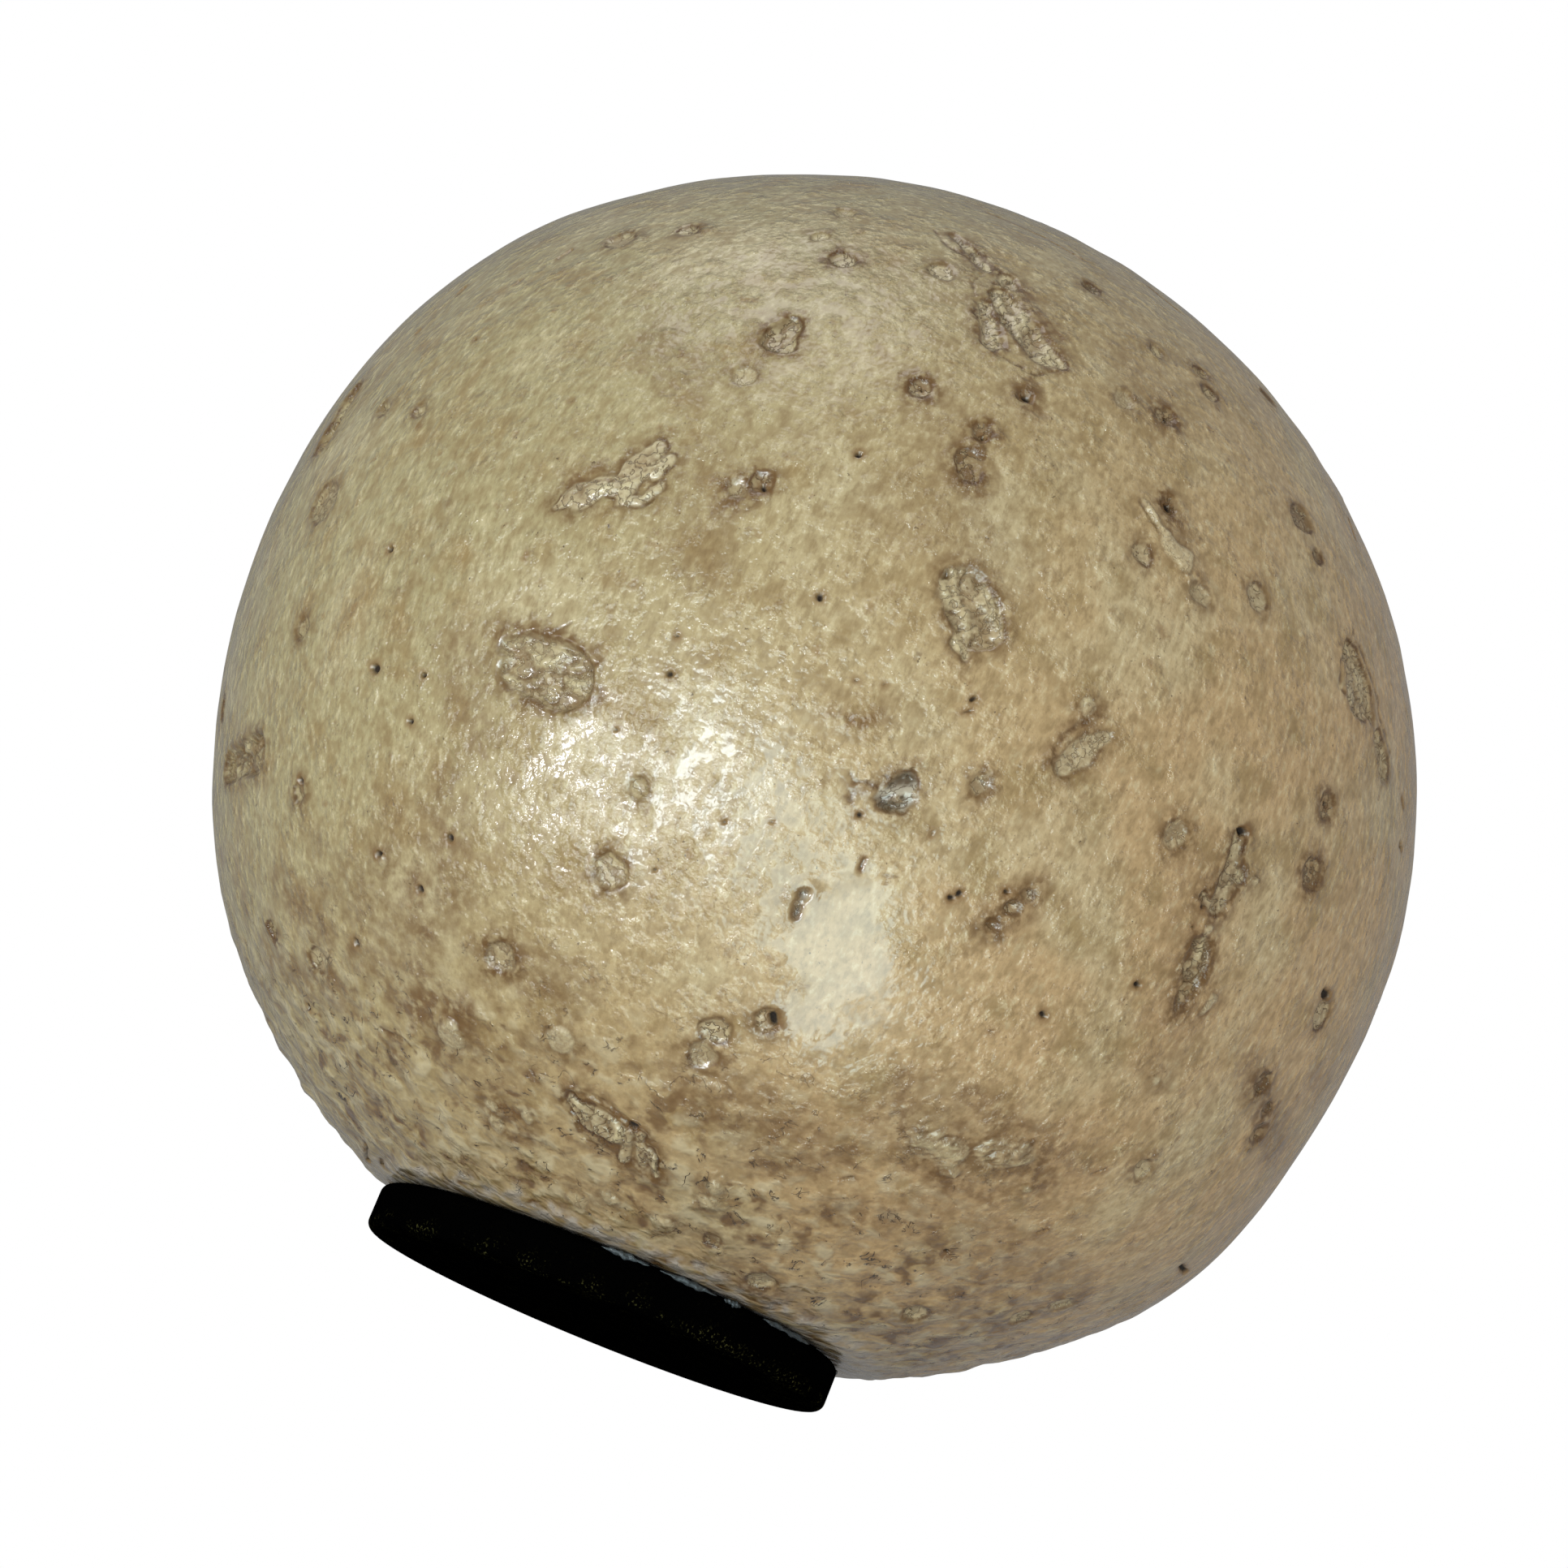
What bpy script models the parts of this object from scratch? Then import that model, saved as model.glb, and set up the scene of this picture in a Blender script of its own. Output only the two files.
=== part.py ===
"""A decorative sphere: a crater-glazed stoneware ball, slightly out of round, glued to a flat black foot.

Units are metres. +Z is up, and the origin is the centre of the foot's underside, where the object stands.
Seen from the front, along +Y, the ball leans out to the right above the foot and to the left at the top.
"""

import math

import bmesh
import bpy
from mathutils import Vector

# Sizes that can be set by themselves
BALL_RADIUS = 0.1000
FOOT_RADIUS = 0.0394
FOOT_THICKNESS = 0.0075
FOOT_EDGE_ROUND = 0.0014
SEAT_MARGIN = 0.0058  # how far the ball's flat seat runs past the foot, on a true sphere
GLUE_GAP = 0.0003  # the glue line between the foot and the seat

# Places that follow from those sizes
SEAT_RADIUS = FOOT_RADIUS + SEAT_MARGIN
SEAT_BELOW_CENTRE = math.sqrt(BALL_RADIUS**2 - SEAT_RADIUS**2)
SEAT_HEIGHT = FOOT_THICKNESS + GLUE_GAP
BALL_CENTRE = Vector((0, 0, SEAT_HEIGHT + SEAT_BELOW_CENTRE))

# The ball's departures from a true sphere, as shares of its radius, at angles from straight down
SIDEWAYS_SHIFT = 0.004
LEAN = 0.0086
SHOULDER_RISE = 0.0177
SHOULDER_BIAS = 0.0080
SHOULDER_AT = 56.6
SHOULDER_WIDTH = 12.3
PINCH_AT_SEAT = 0.0133
PINCH_AT = 22
PINCH_WIDTH = 14
CROWN_SINK = 0.0085
CROWN_WIDTH = 40

# Broad humps left by the hands: azimuth and elevation in degrees, width in degrees, share of the radius
HUMPS = (
    (-90, 35, 22, 0.0285),
    (150, 10, 30, 0.0110),
    (80, 50, 24, -0.0070),
)

# Mesh density
BALL_SUBDIVISIONS = 5
REFINEMENTS = 2
REFINE_REACH = 1.3  # in shares of a blister's half length and half width
RIM_BAND = 0.020  # in shares of the ball's radius
FOOT_SIDES = 72
FOOT_EDGE_SEGMENTS = 2

# Burst blisters in the glaze that show from a step away. Azimuth 0 faces the front and 90 the right.
# Each has its azimuth, elevation, half length, half width, turn from level and depth.
FRONT_BLISTERS = (
    (-25, 3.5, 0.0099, 0.0033, 45, 0.0008),
    (-25, -13, 0.0070, 0.0058, 38, 0.0009),
    (0, 35, 0.0135, 0.0070, -48, 0.0009),
    (6.5, 3.5, 0.0056, 0.0044, -56, 0.0007),
    (19, -3, 0.0050, 0.0037, 56, 0.0006),
    (51, 16.5, 0.0106, 0.0032, -44, 0.0008),
    (37, -6, 0.0066, 0.0028, 87, 0.0007),
    (39, -14.5, 0.0048, 0.0034, -84, 0.0007),
    (30, -36, 0.0098, 0.0078, 56, 0.0006),
    (-66, 9, 0.0085, 0.0062, 82, 0.0008),
    (-66, -25, 0.0085, 0.0050, 16, 0.0008),
    (-7, -50, 0.0070, 0.0056, -13, -0.0009),
)
HIDDEN_BLISTERS = 7
HIDDEN_HALF_LENGTHS = (0.0095, 0.0062, 0.0078)
HIDDEN_NARROWNESS = (0.42, 0.85, 0.64)
HIDDEN_DEPTH = 0.0008
GOLDEN_ANGLE = math.degrees(math.pi * (3 - math.sqrt(5)))

# A blister's section, in shares of its half width: flat floor, wall, raised lip, and back to the ball
FLOOR_END = 0.55
WALL_END = 1.0
LIP_AT = 1.15
LIP_END = 1.6
LIP_SHARE = 0.35

GLAZE_COLOUR = (0.50, 0.38, 0.22, 1.0)
GLAZE_ROUGHNESS = 0.2
FOOT_COLOUR = (0.006, 0.006, 0.006, 1.0)
FOOT_ROUGHNESS = 0.75


def clear_scene():
    for obj in list(bpy.data.objects):
        bpy.data.objects.remove(obj)


def make_collection(name):
    collection = bpy.data.collections.new(name)
    bpy.context.scene.collection.children.link(collection)
    return collection


def make_material(name, colour, roughness):
    material = bpy.data.materials.new(name)
    material.use_nodes = True
    shader = material.node_tree.nodes["Principled BSDF"]
    shader.inputs["Base Color"].default_value = colour
    shader.inputs["Roughness"].default_value = roughness
    shader.inputs["Metallic"].default_value = 0.0
    return material


def direction(azimuth, elevation):
    """The unit vector that way from the ball's centre. Azimuth 0 is the front, -Y, and 90 the right, +X."""
    a = math.radians(azimuth)
    e = math.radians(elevation)
    return Vector((math.sin(a) * math.cos(e), -math.cos(a) * math.cos(e), math.sin(e)))


def bell(angle, width):
    """1 at angle 0, falling smoothly to nothing at about twice the width."""
    return math.exp(-((angle / width) ** 2))


def smooth_step(low, high, value):
    t = min(1.0, max(0.0, (value - low) / (high - low)))
    return t * t * (3 - 2 * t)


def ball_share(n):
    """The ball's radius that way, as a share of BALL_RADIUS: a sphere, shifted, leaning, with a shoulder
    above the foot, drawn in at the seat, sunk at the crown, and humped by the hands that made it."""
    from_foot = math.degrees(n.angle(Vector((0, 0, -1))))
    share = 1 + SIDEWAYS_SHIFT * n.x - 2 * LEAN * n.x * n.z
    share += (SHOULDER_RISE + SHOULDER_BIAS * n.x) * bell(from_foot - SHOULDER_AT, SHOULDER_WIDTH)
    share -= PINCH_AT_SEAT * bell(from_foot - PINCH_AT, PINCH_WIDTH)
    share -= CROWN_SINK * bell(180 - from_foot, CROWN_WIDTH)
    for azimuth, elevation, width, rise in HUMPS:
        share += rise * bell(math.degrees(n.angle(direction(azimuth, elevation))), width)
    return share


def hidden_blisters():
    """Blisters on the back, spaced round it by the golden angle."""
    made = []
    for i in range(HIDDEN_BLISTERS):
        azimuth = 90 + (i * GOLDEN_ANGLE) % 180
        elevation = math.degrees(math.asin(0.8 - 1.3 * (i + 0.5) / HIDDEN_BLISTERS))
        half_length = HIDDEN_HALF_LENGTHS[i % len(HIDDEN_HALF_LENGTHS)]
        half_width = half_length * HIDDEN_NARROWNESS[i % len(HIDDEN_NARROWNESS)]
        made.append((azimuth, elevation, half_length, half_width, i * GOLDEN_ANGLE, HIDDEN_DEPTH))
    return made


def blister_frame(azimuth, elevation, turn):
    """A blister's centre, and the directions along and across it on the ball."""
    centre = direction(azimuth, elevation)
    level = Vector((0, 0, 1)).cross(centre).normalized()
    upward = centre.cross(level)
    t = math.radians(turn)
    along = level * math.cos(t) + upward * math.sin(t)
    return centre, along, centre.cross(along)


def blister_section(reach):
    """A burst blister's height at a distance from its middle, from -1 on the floor to LIP_SHARE on the lip."""
    wall = smooth_step(FLOOR_END, WALL_END, reach) - 1
    lip = LIP_SHARE * smooth_step(WALL_END - 0.2, LIP_AT, reach) * (1 - smooth_step(LIP_AT, LIP_END, reach))
    return wall + lip


def relief(n, blisters):
    """How far the glaze stands out or sinks in that way, in metres."""
    height = 0.0
    for azimuth, elevation, half_length, half_width, turn, depth in blisters:
        centre, along, across = blister_frame(azimuth, elevation, turn)
        if n.dot(centre) <= 0:
            continue
        u = n.dot(along) * BALL_RADIUS / half_length
        v = n.dot(across) * BALL_RADIUS / half_width
        height += depth * blister_section(math.hypot(u, v))
    return height


def refine_at(bm, corners):
    """Cuts the triangles that touch these corners smaller, and puts the new corners on the unit sphere."""
    edges = [edge for edge in bm.edges if edge.verts[0] in corners or edge.verts[1] in corners]
    bmesh.ops.subdivide_edges(bm, edges=edges, cuts=1, use_grid_fill=True)
    bmesh.ops.triangulate(bm, faces=[face for face in bm.faces if len(face.verts) > 3])
    for vert in bm.verts:
        vert.co.normalize()


def refine_round(bm, blister):
    """Makes the mesh fine enough round a blister to carry its relief."""
    azimuth, elevation, half_length, half_width, turn, _ = blister
    centre, along, across = blister_frame(azimuth, elevation, turn)
    for _ in range(REFINEMENTS):
        near = set()
        for vert in bm.verts:
            u = vert.co.dot(along) * BALL_RADIUS / (half_length * REFINE_REACH)
            v = vert.co.dot(across) * BALL_RADIUS / (half_width * REFINE_REACH)
            if vert.co.dot(centre) > 0 and math.hypot(u, v) < 1:
                near.add(vert)
        refine_at(bm, near)


def refine_seat_rim(bm):
    """Makes the mesh finer where the seat is cut, so that the seat's rim comes out round."""
    rim_level = -SEAT_BELOW_CENTRE / BALL_RADIUS
    refine_at(bm, {vert for vert in bm.verts if abs(vert.co.z - rim_level) < RIM_BAND})


def cut_seat(bm):
    """Cuts the ball off flat where it sits on the foot, and closes the cut."""
    geometry = bm.verts[:] + bm.edges[:] + bm.faces[:]
    seat = Vector((0, 0, SEAT_HEIGHT))
    cut = bmesh.ops.bisect_plane(
        bm, geom=geometry, dist=1e-6, plane_co=seat, plane_no=Vector((0, 0, -1)), clear_outer=True
    )
    rim = [item for item in cut["geom_cut"] if isinstance(item, bmesh.types.BMEdge)]
    bmesh.ops.contextual_create(bm, geom=rim)
    bmesh.ops.recalc_face_normals(bm, faces=bm.faces)


def make_ball(collection, material):
    blisters = list(FRONT_BLISTERS) + hidden_blisters()
    bm = bmesh.new()
    bmesh.ops.create_icosphere(bm, subdivisions=BALL_SUBDIVISIONS, radius=1.0)
    for blister in blisters:
        refine_round(bm, blister)
    refine_seat_rim(bm)
    for vert in bm.verts:
        n = vert.co.normalized()
        vert.co = BALL_CENTRE + n * (BALL_RADIUS * ball_share(n) + relief(n, blisters))
    cut_seat(bm)
    mesh = bpy.data.meshes.new("ball")
    bm.to_mesh(mesh)
    bm.free()
    mesh.shade_smooth()
    mesh.set_sharp_from_angle(angle=math.radians(40))
    mesh.materials.append(material)
    ball = bpy.data.objects.new("ball", mesh)
    collection.objects.link(ball)
    return ball


def make_foot(collection, material):
    """A turned disc with both rims rounded over."""
    bm = bmesh.new()
    bmesh.ops.create_cone(
        bm,
        cap_ends=True,
        segments=FOOT_SIDES,
        radius1=FOOT_RADIUS,
        radius2=FOOT_RADIUS,
        depth=FOOT_THICKNESS,
    )
    mesh = bpy.data.meshes.new("foot")
    bm.to_mesh(mesh)
    bm.free()
    mesh.shade_smooth()
    mesh.set_sharp_from_angle(angle=math.radians(40))
    mesh.materials.append(material)
    foot = bpy.data.objects.new("foot", mesh)
    foot.location = (0, 0, FOOT_THICKNESS / 2)
    collection.objects.link(foot)
    edge = foot.modifiers.new("rounded_rims", "BEVEL")
    edge.width = FOOT_EDGE_ROUND
    edge.segments = FOOT_EDGE_SEGMENTS
    edge.limit_method = "ANGLE"
    edge.angle_limit = math.radians(60)
    return foot


def main():
    clear_scene()
    collection = make_collection("decorative_sphere")
    glaze = make_material("crater_glaze", GLAZE_COLOUR, GLAZE_ROUGHNESS)
    black = make_material("black_foot", FOOT_COLOUR, FOOT_ROUGHNESS)
    make_ball(collection, glaze)
    make_foot(collection, black)


main()
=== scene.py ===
"""The looks of a crater-glazed stoneware ball on its black foot.

Everything is in metres and in the part's frame: +Z is up, and the photographed side faces -Y. Sizes on the
glaze are in millimetres and are named so. A mark that the photograph shows is placed by its pixel there: the
pixel's ray is followed from the camera to the ball, so the mark lies on the ball from every side.
"""

import math

import bpy
import numpy as np
from mathutils import Matrix, Vector


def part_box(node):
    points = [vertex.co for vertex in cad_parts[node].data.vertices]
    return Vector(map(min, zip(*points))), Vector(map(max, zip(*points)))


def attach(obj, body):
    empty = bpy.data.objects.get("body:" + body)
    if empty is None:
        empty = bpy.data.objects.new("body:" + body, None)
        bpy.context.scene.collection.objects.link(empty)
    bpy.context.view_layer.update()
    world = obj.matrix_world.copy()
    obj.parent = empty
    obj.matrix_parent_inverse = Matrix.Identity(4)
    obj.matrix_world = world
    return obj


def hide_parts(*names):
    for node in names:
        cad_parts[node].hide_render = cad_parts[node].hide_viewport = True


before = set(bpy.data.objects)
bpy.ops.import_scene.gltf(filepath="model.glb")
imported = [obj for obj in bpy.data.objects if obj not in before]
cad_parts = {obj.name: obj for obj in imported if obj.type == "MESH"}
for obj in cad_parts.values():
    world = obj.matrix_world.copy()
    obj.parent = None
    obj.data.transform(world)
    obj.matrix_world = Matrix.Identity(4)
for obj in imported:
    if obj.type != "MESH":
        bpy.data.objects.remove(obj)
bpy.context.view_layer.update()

MM = 0.001
RANDOM_SEED = 7

# The solids' own sizes, read from the frame
FOOT_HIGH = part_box("foot")[1]
FOOT_RADIUS = FOOT_HIGH.x
FOOT_THICKNESS = FOOT_HIGH.z
SEAT_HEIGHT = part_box("ball")[0].z

# The ball's form, as in the part's source: departures from a sphere are shares of its radius, at angles in
# degrees from straight down, and each hump has its azimuth, elevation, width and rise
BALL_RADIUS = 0.1000
SEAT_MARGIN = 0.0058
SEAT_BELOW_CENTRE = math.sqrt(BALL_RADIUS**2 - (FOOT_RADIUS + SEAT_MARGIN) ** 2)
BALL_CENTRE = np.array([0, 0, SEAT_HEIGHT + SEAT_BELOW_CENTRE])
SIDEWAYS_SHIFT = 0.004
LEAN = 0.0086
SHOULDER_RISE = 0.0177
SHOULDER_BIAS = 0.0080
SHOULDER_AT = 56.6
SHOULDER_WIDTH = 12.3
PINCH_AT_SEAT = 0.0133
PINCH_AT = 22
PINCH_WIDTH = 14
CROWN_SINK = 0.0085
CROWN_WIDTH = 40
HUMPS = (
    (-90, 35, 22, 0.0285),
    (150, 10, 30, 0.0110),
    (80, 50, 24, -0.0070),
)

# The photograph's side in pixels, the ball's centre in it, and the camera that matches it
PHOTO_SIDE = 1932
BALL_IN_PHOTO = np.array([1003.6, 959.9])
CAMERA_DISTANCE = 0.600
CAMERA_ELEVATION = -14.55
CAMERA_ROLL = 22.25
SENSOR_MM = 36.0
LENS_MM = 82.39
FOCAL_PX = LENS_MM / SENSOR_MM * PHOTO_SIDE

# The lamps whose soft glow the photograph shows on the glaze: the glow's pixel, and the lamp's size in
# metres, power in watts and colour
LAMPS_IN_PHOTO = {
    "small_lamp": ((705, 965), 0.15, 2.9, (0.94, 0.97, 1.0)),
    "soft_lamp": ((880, 960), 0.34, 3.6, (0.86, 0.96, 1.0)),
}

# The outline of a window's reflection on the glaze. Each corner is followed by how bright the pane is there.
WINDOW_IN_PHOTO = (
    (870, 840, 0.50),
    (985, 925, 0.60),
    (1020, 1020, 0.75),
    (1086, 1078, 0.90),
    (1099, 1178, 1.00),
    (1084, 1234, 1.00),
    (1048, 1274, 1.00),
    (994, 1296, 1.00),
    (984, 1232, 1.00),
    (953, 1201, 0.90),
    (915, 1140, 0.50),
    (860, 1020, 0.30),
)


# The photographed side's large marks. Each row is a stroke: from pixel x, y to pixel x, y, and the half width
# in millimetres at either end.

FORKED_TRAIL = (
    (684, 625, 712, 612, 0.3, 2.5),
    (712, 612, 742, 600, 2.5, 1.8),
    (742, 600, 768, 600, 1.6, 2.4),
    (772, 594, 792, 570, 2.4, 2.0),
    (792, 570, 810, 552, 2.0, 1.4),
    (806, 580, 828, 567, 1.6, 0.9),
    (762, 618, 790, 616, 0.8, 1.2),
    (790, 616, 816, 597, 1.2, 0.7),
)
SUNKEN_OVAL = (
    (652, 818, 694, 836, 4.7, 4.8),
    (626, 798, 650, 800, 1.6, 2.2),
)
FEATHER = (
    (1174, 290, 1196, 308, 0.5, 1.2),
    (1196, 308, 1214, 330, 1.2, 1.3),
    (1240, 344, 1242, 350, 1.5, 1.6),
    (1236, 366, 1258, 400, 2.2, 2.8),
    (1258, 400, 1288, 438, 2.8, 2.6),
    (1288, 438, 1306, 448, 1.8, 1.0),
    (1212, 374, 1222, 420, 1.3, 1.8),
)
PITTED_OVAL = (
    (1188, 728, 1206, 768, 4.0, 4.2),
    (1186, 792, 1188, 808, 1.8, 0.8),
)
KIDNEY = (
    (1311, 944, 1330, 928, 1.6, 2.4),
    (1330, 928, 1362, 908, 2.4, 1.2),
)
KIDNEY_BUD = (
    (1338, 870, 1342, 872, 1.2, 1.2),
)
UPPER_CHAIN = (
    (1529, 1032, 1516, 1072, 1.4, 1.2),
    (1521, 1076, 1527, 1080, 1.5, 1.2),
    (1512, 1086, 1502, 1116, 1.8, 1.5),
    (1484, 1106, 1495, 1122, 0.8, 0.9),
)
LOWER_CHAIN = (
    (1482, 1164, 1474, 1193, 1.5, 2.3),
    (1474, 1193, 1462, 1220, 2.3, 1.4),
    (1462, 1220, 1450, 1250, 1.3, 0.6),
)
PALE_BUD = (
    (1481, 1247, 1494, 1231, 0.5, 0.9),
)
FISH = (
    (1666, 812, 1676, 852, 2.8, 4.6),
    (1678, 856, 1690, 884, 4.0, 1.2),
    (1698, 910, 1706, 946, 1.6, 2.4),
)
LIFTED_FLAKE = (
    (706, 1356, 734, 1380, 1.2, 2.7),
    (734, 1380, 756, 1394, 2.7, 2.2),
    (774, 1396, 769, 1428, 1.0, 0.8),
    (788, 1402, 791, 1436, 1.0, 0.8),
    (799, 1418, 809, 1446, 0.8, 0.6),
)
FAINT_PATCH = (
    (1140, 1410, 1170, 1420, 2.4, 2.8),
    (1222, 1420, 1262, 1424, 2.6, 2.0),
    (1166, 1440, 1176, 1444, 1.2, 1.0),
)
LEFT_PATCH = (
    (436, 484, 402, 542, 2.2, 3.0),
)
LOW_LEFT_PATCH = (
    (282, 946, 316, 928, 2.6, 3.4),
)
GREY_PIT = (
    (1076, 984, 1092, 978, 0.3, 1.2),
    (1092, 978, 1116, 966, 1.2, 1.9),
    (1084, 990, 1108, 994, 0.5, 1.2),
    (1112, 976, 1118, 984, 1.4, 1.3),
)
SECOND_GREY_PIT = (
    (990, 1104, 984, 1112, 1.1, 0.7),
    (984, 1114, 980, 1130, 0.6, 0.4),
)
HEART = (
    (946, 420, 956, 414, 1.4, 2.2),
    (974, 402, 962, 420, 1.8, 2.6),
)
BURST_PAIR = (
    (1194, 568, 1196, 582, 2.1, 1.8),
)
# The glaze's pale lip by the foot; its pale line is partly a painted highlight along the lip's edge
PALE_LIP_AND_EDGE_HIGHLIGHT = (
    (688, 1478, 724, 1497, 0.4, 0.7),
    (724, 1497, 772, 1523, 0.7, 0.4),
)
SMOOTH_RIDGE = (
    (1408, 616, 1426, 646, 0.5, 0.7),
    (1426, 646, 1440, 672, 0.7, 1.7),
    (1440, 672, 1458, 690, 1.7, 2.1),
)

# Strokes, depth of the floor in millimetres, below 0 where the mark stands up, height of its lumps, and the
# looks: tone from dark -1 to pale 1, then the strength of the dark outline, of the brown halo round it, which
# is partly painted shade, and of the grey body showing through
LARGE_MARKS = (
    (FORKED_TRAIL, -0.4, 0.50, 0.75, 0.9, 0.6, 0.0),
    (SUNKEN_OVAL, 1.0, 0.60, 0.25, 0.5, 0.7, 0.0),
    (FEATHER, 0.5, 0.70, 0.60, 0.9, 0.8, 0.0),
    (PITTED_OVAL, 0.7, 0.90, 0.35, 0.6, 0.6, 0.0),
    (KIDNEY, 0.4, 0.20, 0.50, 0.7, 0.5, 0.0),
    (KIDNEY_BUD, -0.5, 0.40, 0.4, 0.3, 0.6, 0.0),
    (UPPER_CHAIN, 0.6, 0.35, 0.40, 1.0, 0.9, 0.0),
    (LOWER_CHAIN, 0.6, 0.60, 0.10, 0.9, 1.0, 0.0),
    (PALE_BUD, -0.4, 0.20, 0.7, 0.4, 0.5, 0.0),
    (FISH, 0.6, 0.30, 0.30, 0.9, 0.5, 0.0),
    (LIFTED_FLAKE, -0.6, 0.60, 0.65, 1.0, 1.0, 0.0),
    (FAINT_PATCH, -0.4, 0.60, 0.15, 0.20, 0.7, 0.0),
    (LEFT_PATCH, 0.9, 0.60, 0.0, 0.9, 0.6, 0.0),
    (LOW_LEFT_PATCH, 0.9, 0.70, -0.1, 0.7, 0.7, 0.0),
    (GREY_PIT, 0.8, 0.80, 0.1, 0.8, 0.3, 0.75),
    (SECOND_GREY_PIT, 0.6, 0.30, -0.2, 0.6, 0.3, 0.7),
    (HEART, 0.8, 0.30, 0.2, 1.0, 0.9, 0.0),
    (BURST_PAIR, 0.6, 0.20, -0.1, 1.0, 0.9, 0.0),
    # partly painted highlight: the pale tone of the lip's line
    (PALE_LIP_AND_EDGE_HIGHLIGHT, -0.4, 0.0, 0.7, 0.1, 0.0, 0.0),
    (SMOOTH_RIDGE, -0.9, 0.0, 0.45, 0.3, 0.3, 0.0),
)

# Small burst bubbles: pixel, radius in millimetres, and the looks: tone, outline and brown halo, partly
# painted shade
RINGS = (
    (399, 619, 3.6, 0.0, 0.8, 0.54),
    (372, 775, 1.9, 0.0, 0.9, 0.67),
    (475, 502, 1.5, -0.1, 0.8, 0.54),
    (516, 506, 1.5, 0.2, 0.7, 0.54),
    (765, 295, 2.6, 0.3, 0.7, 0.67),
    (850, 283, 1.8, 0.3, 1.0, 0.67),
    (1040, 263, 1.9, 0.48, 0.4, 0.41),
    (1012, 291, 1.5, 0.8, 0.5, 0.41),
    (1039, 319, 2.2, 0.5, 1.0, 0.93),
    (1160, 334, 2.2, 0.8, 1.0, 0.54),
    (919, 463, 1.9, 0.54, 0.4, 0.54),
    (1133, 478, 1.7, 0.3, 1.0, 1.0),
    (1211, 533, 1.5, 0.0, 1.0, 1.0),
    (937, 595, 1.7, 0.0, 1.0, 1.0),
    (1344, 354, 1.7, -0.7, 1.0, 0.67),
    (1425, 432, 1.4, 0.3, 1.0, 0.54),
    (1480, 459, 1.5, 0.1, 1.0, 0.67),
    (1492, 485, 1.6, 0.2, 1.0, 0.67),
    (1384, 492, 1.9, 0.3, 0.25, 0.54),
    (1436, 513, 1.8, 0.0, 1.0, 1.0),
    (1603, 638, 2.7, -0.5, 1.0, 0.54),
    (1624, 686, 1.3, -0.7, 1.0, 0.54),
    (1441, 623, 1.7, -0.6, 1.0, 1.0),
    (1408, 682, 1.8, 0.2, 0.9, 0.67),
    (1479, 731, 1.9, 0.24, 0.5, 0.54),
    (1550, 736, 2.3, 0.4, 0.8, 0.54),
    (1635, 993, 2.0, 0.0, 0.9, 0.93),
    (1617, 1076, 2.5, -0.1, 1.0, 1.0),
    (1449, 1028, 2.2, 0.18, 0.45, 0.8),
    (752, 1075, 2.6, 0.18, 0.45, 0.8),
    (617, 1180, 2.4, 0.18, 0.5, 1.0),
    (945, 1258, 1.9, 0.18, 0.8, 0.67),
    (881, 1271, 2.2, 0.3, 1.0, 0.54),
    (866, 1300, 2.2, 0.3, 0.4, 0.67),
    (392, 1184, 2.2, 0.3, 0.9, 0.8),
    (335, 1147, 1.6, 0.0, 1.0, 0.93),
    (1206, 967, 1.5, 0.1, 0.8, 0.8),
    (937, 1579, 2.3, 0.4, 0.8, 0.8),
    (1127, 1619, 2.1, 0.4, 0.8, 0.8),
    (878, 1528, 1.3, -0.2, 1.0, 0.67),
    (1308, 1607, 2.0, 0.5, 0.7, 0.67),
    (1257, 1623, 1.8, 0.5, 0.7, 0.67),
    (1407, 1441, 1.7, 0.3, 0.6, 0.67),
    (1629, 1250, 2.7, 0.4, 1.0, 0.54),
    (1562, 490, 1.6, -0.7, 1.0, 0.54),
    (1649, 597, 1.6, -0.7, 1.0, 0.54),
    (275, 872, 2.2, -0.7, 1.0, 0.67),
    (368, 977, 1.6, 0.0, 0.8, 0.8),
    (789, 972, 1.6, 0.2, 0.5, 0.4),
    (1556, 1336, 1.9, -0.2, 0.9, 1.0),
    (1562, 1366, 1.4, -0.4, 0.9, 1.0),
    (1550, 1398, 1.7, -0.2, 0.9, 1.0),
    (1222, 1142, 1.0, -0.2, 0.8, 0.9),
    (1246, 1118, 1.2, -0.1, 0.8, 0.9),
    (1268, 1102, 0.9, -0.2, 0.8, 0.9),
    (1262, 487, 1.4, -0.6, 0.8, 0.8),
    (908, 602, 1.6, 0.1, 0.5, 0.9),
)

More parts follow.
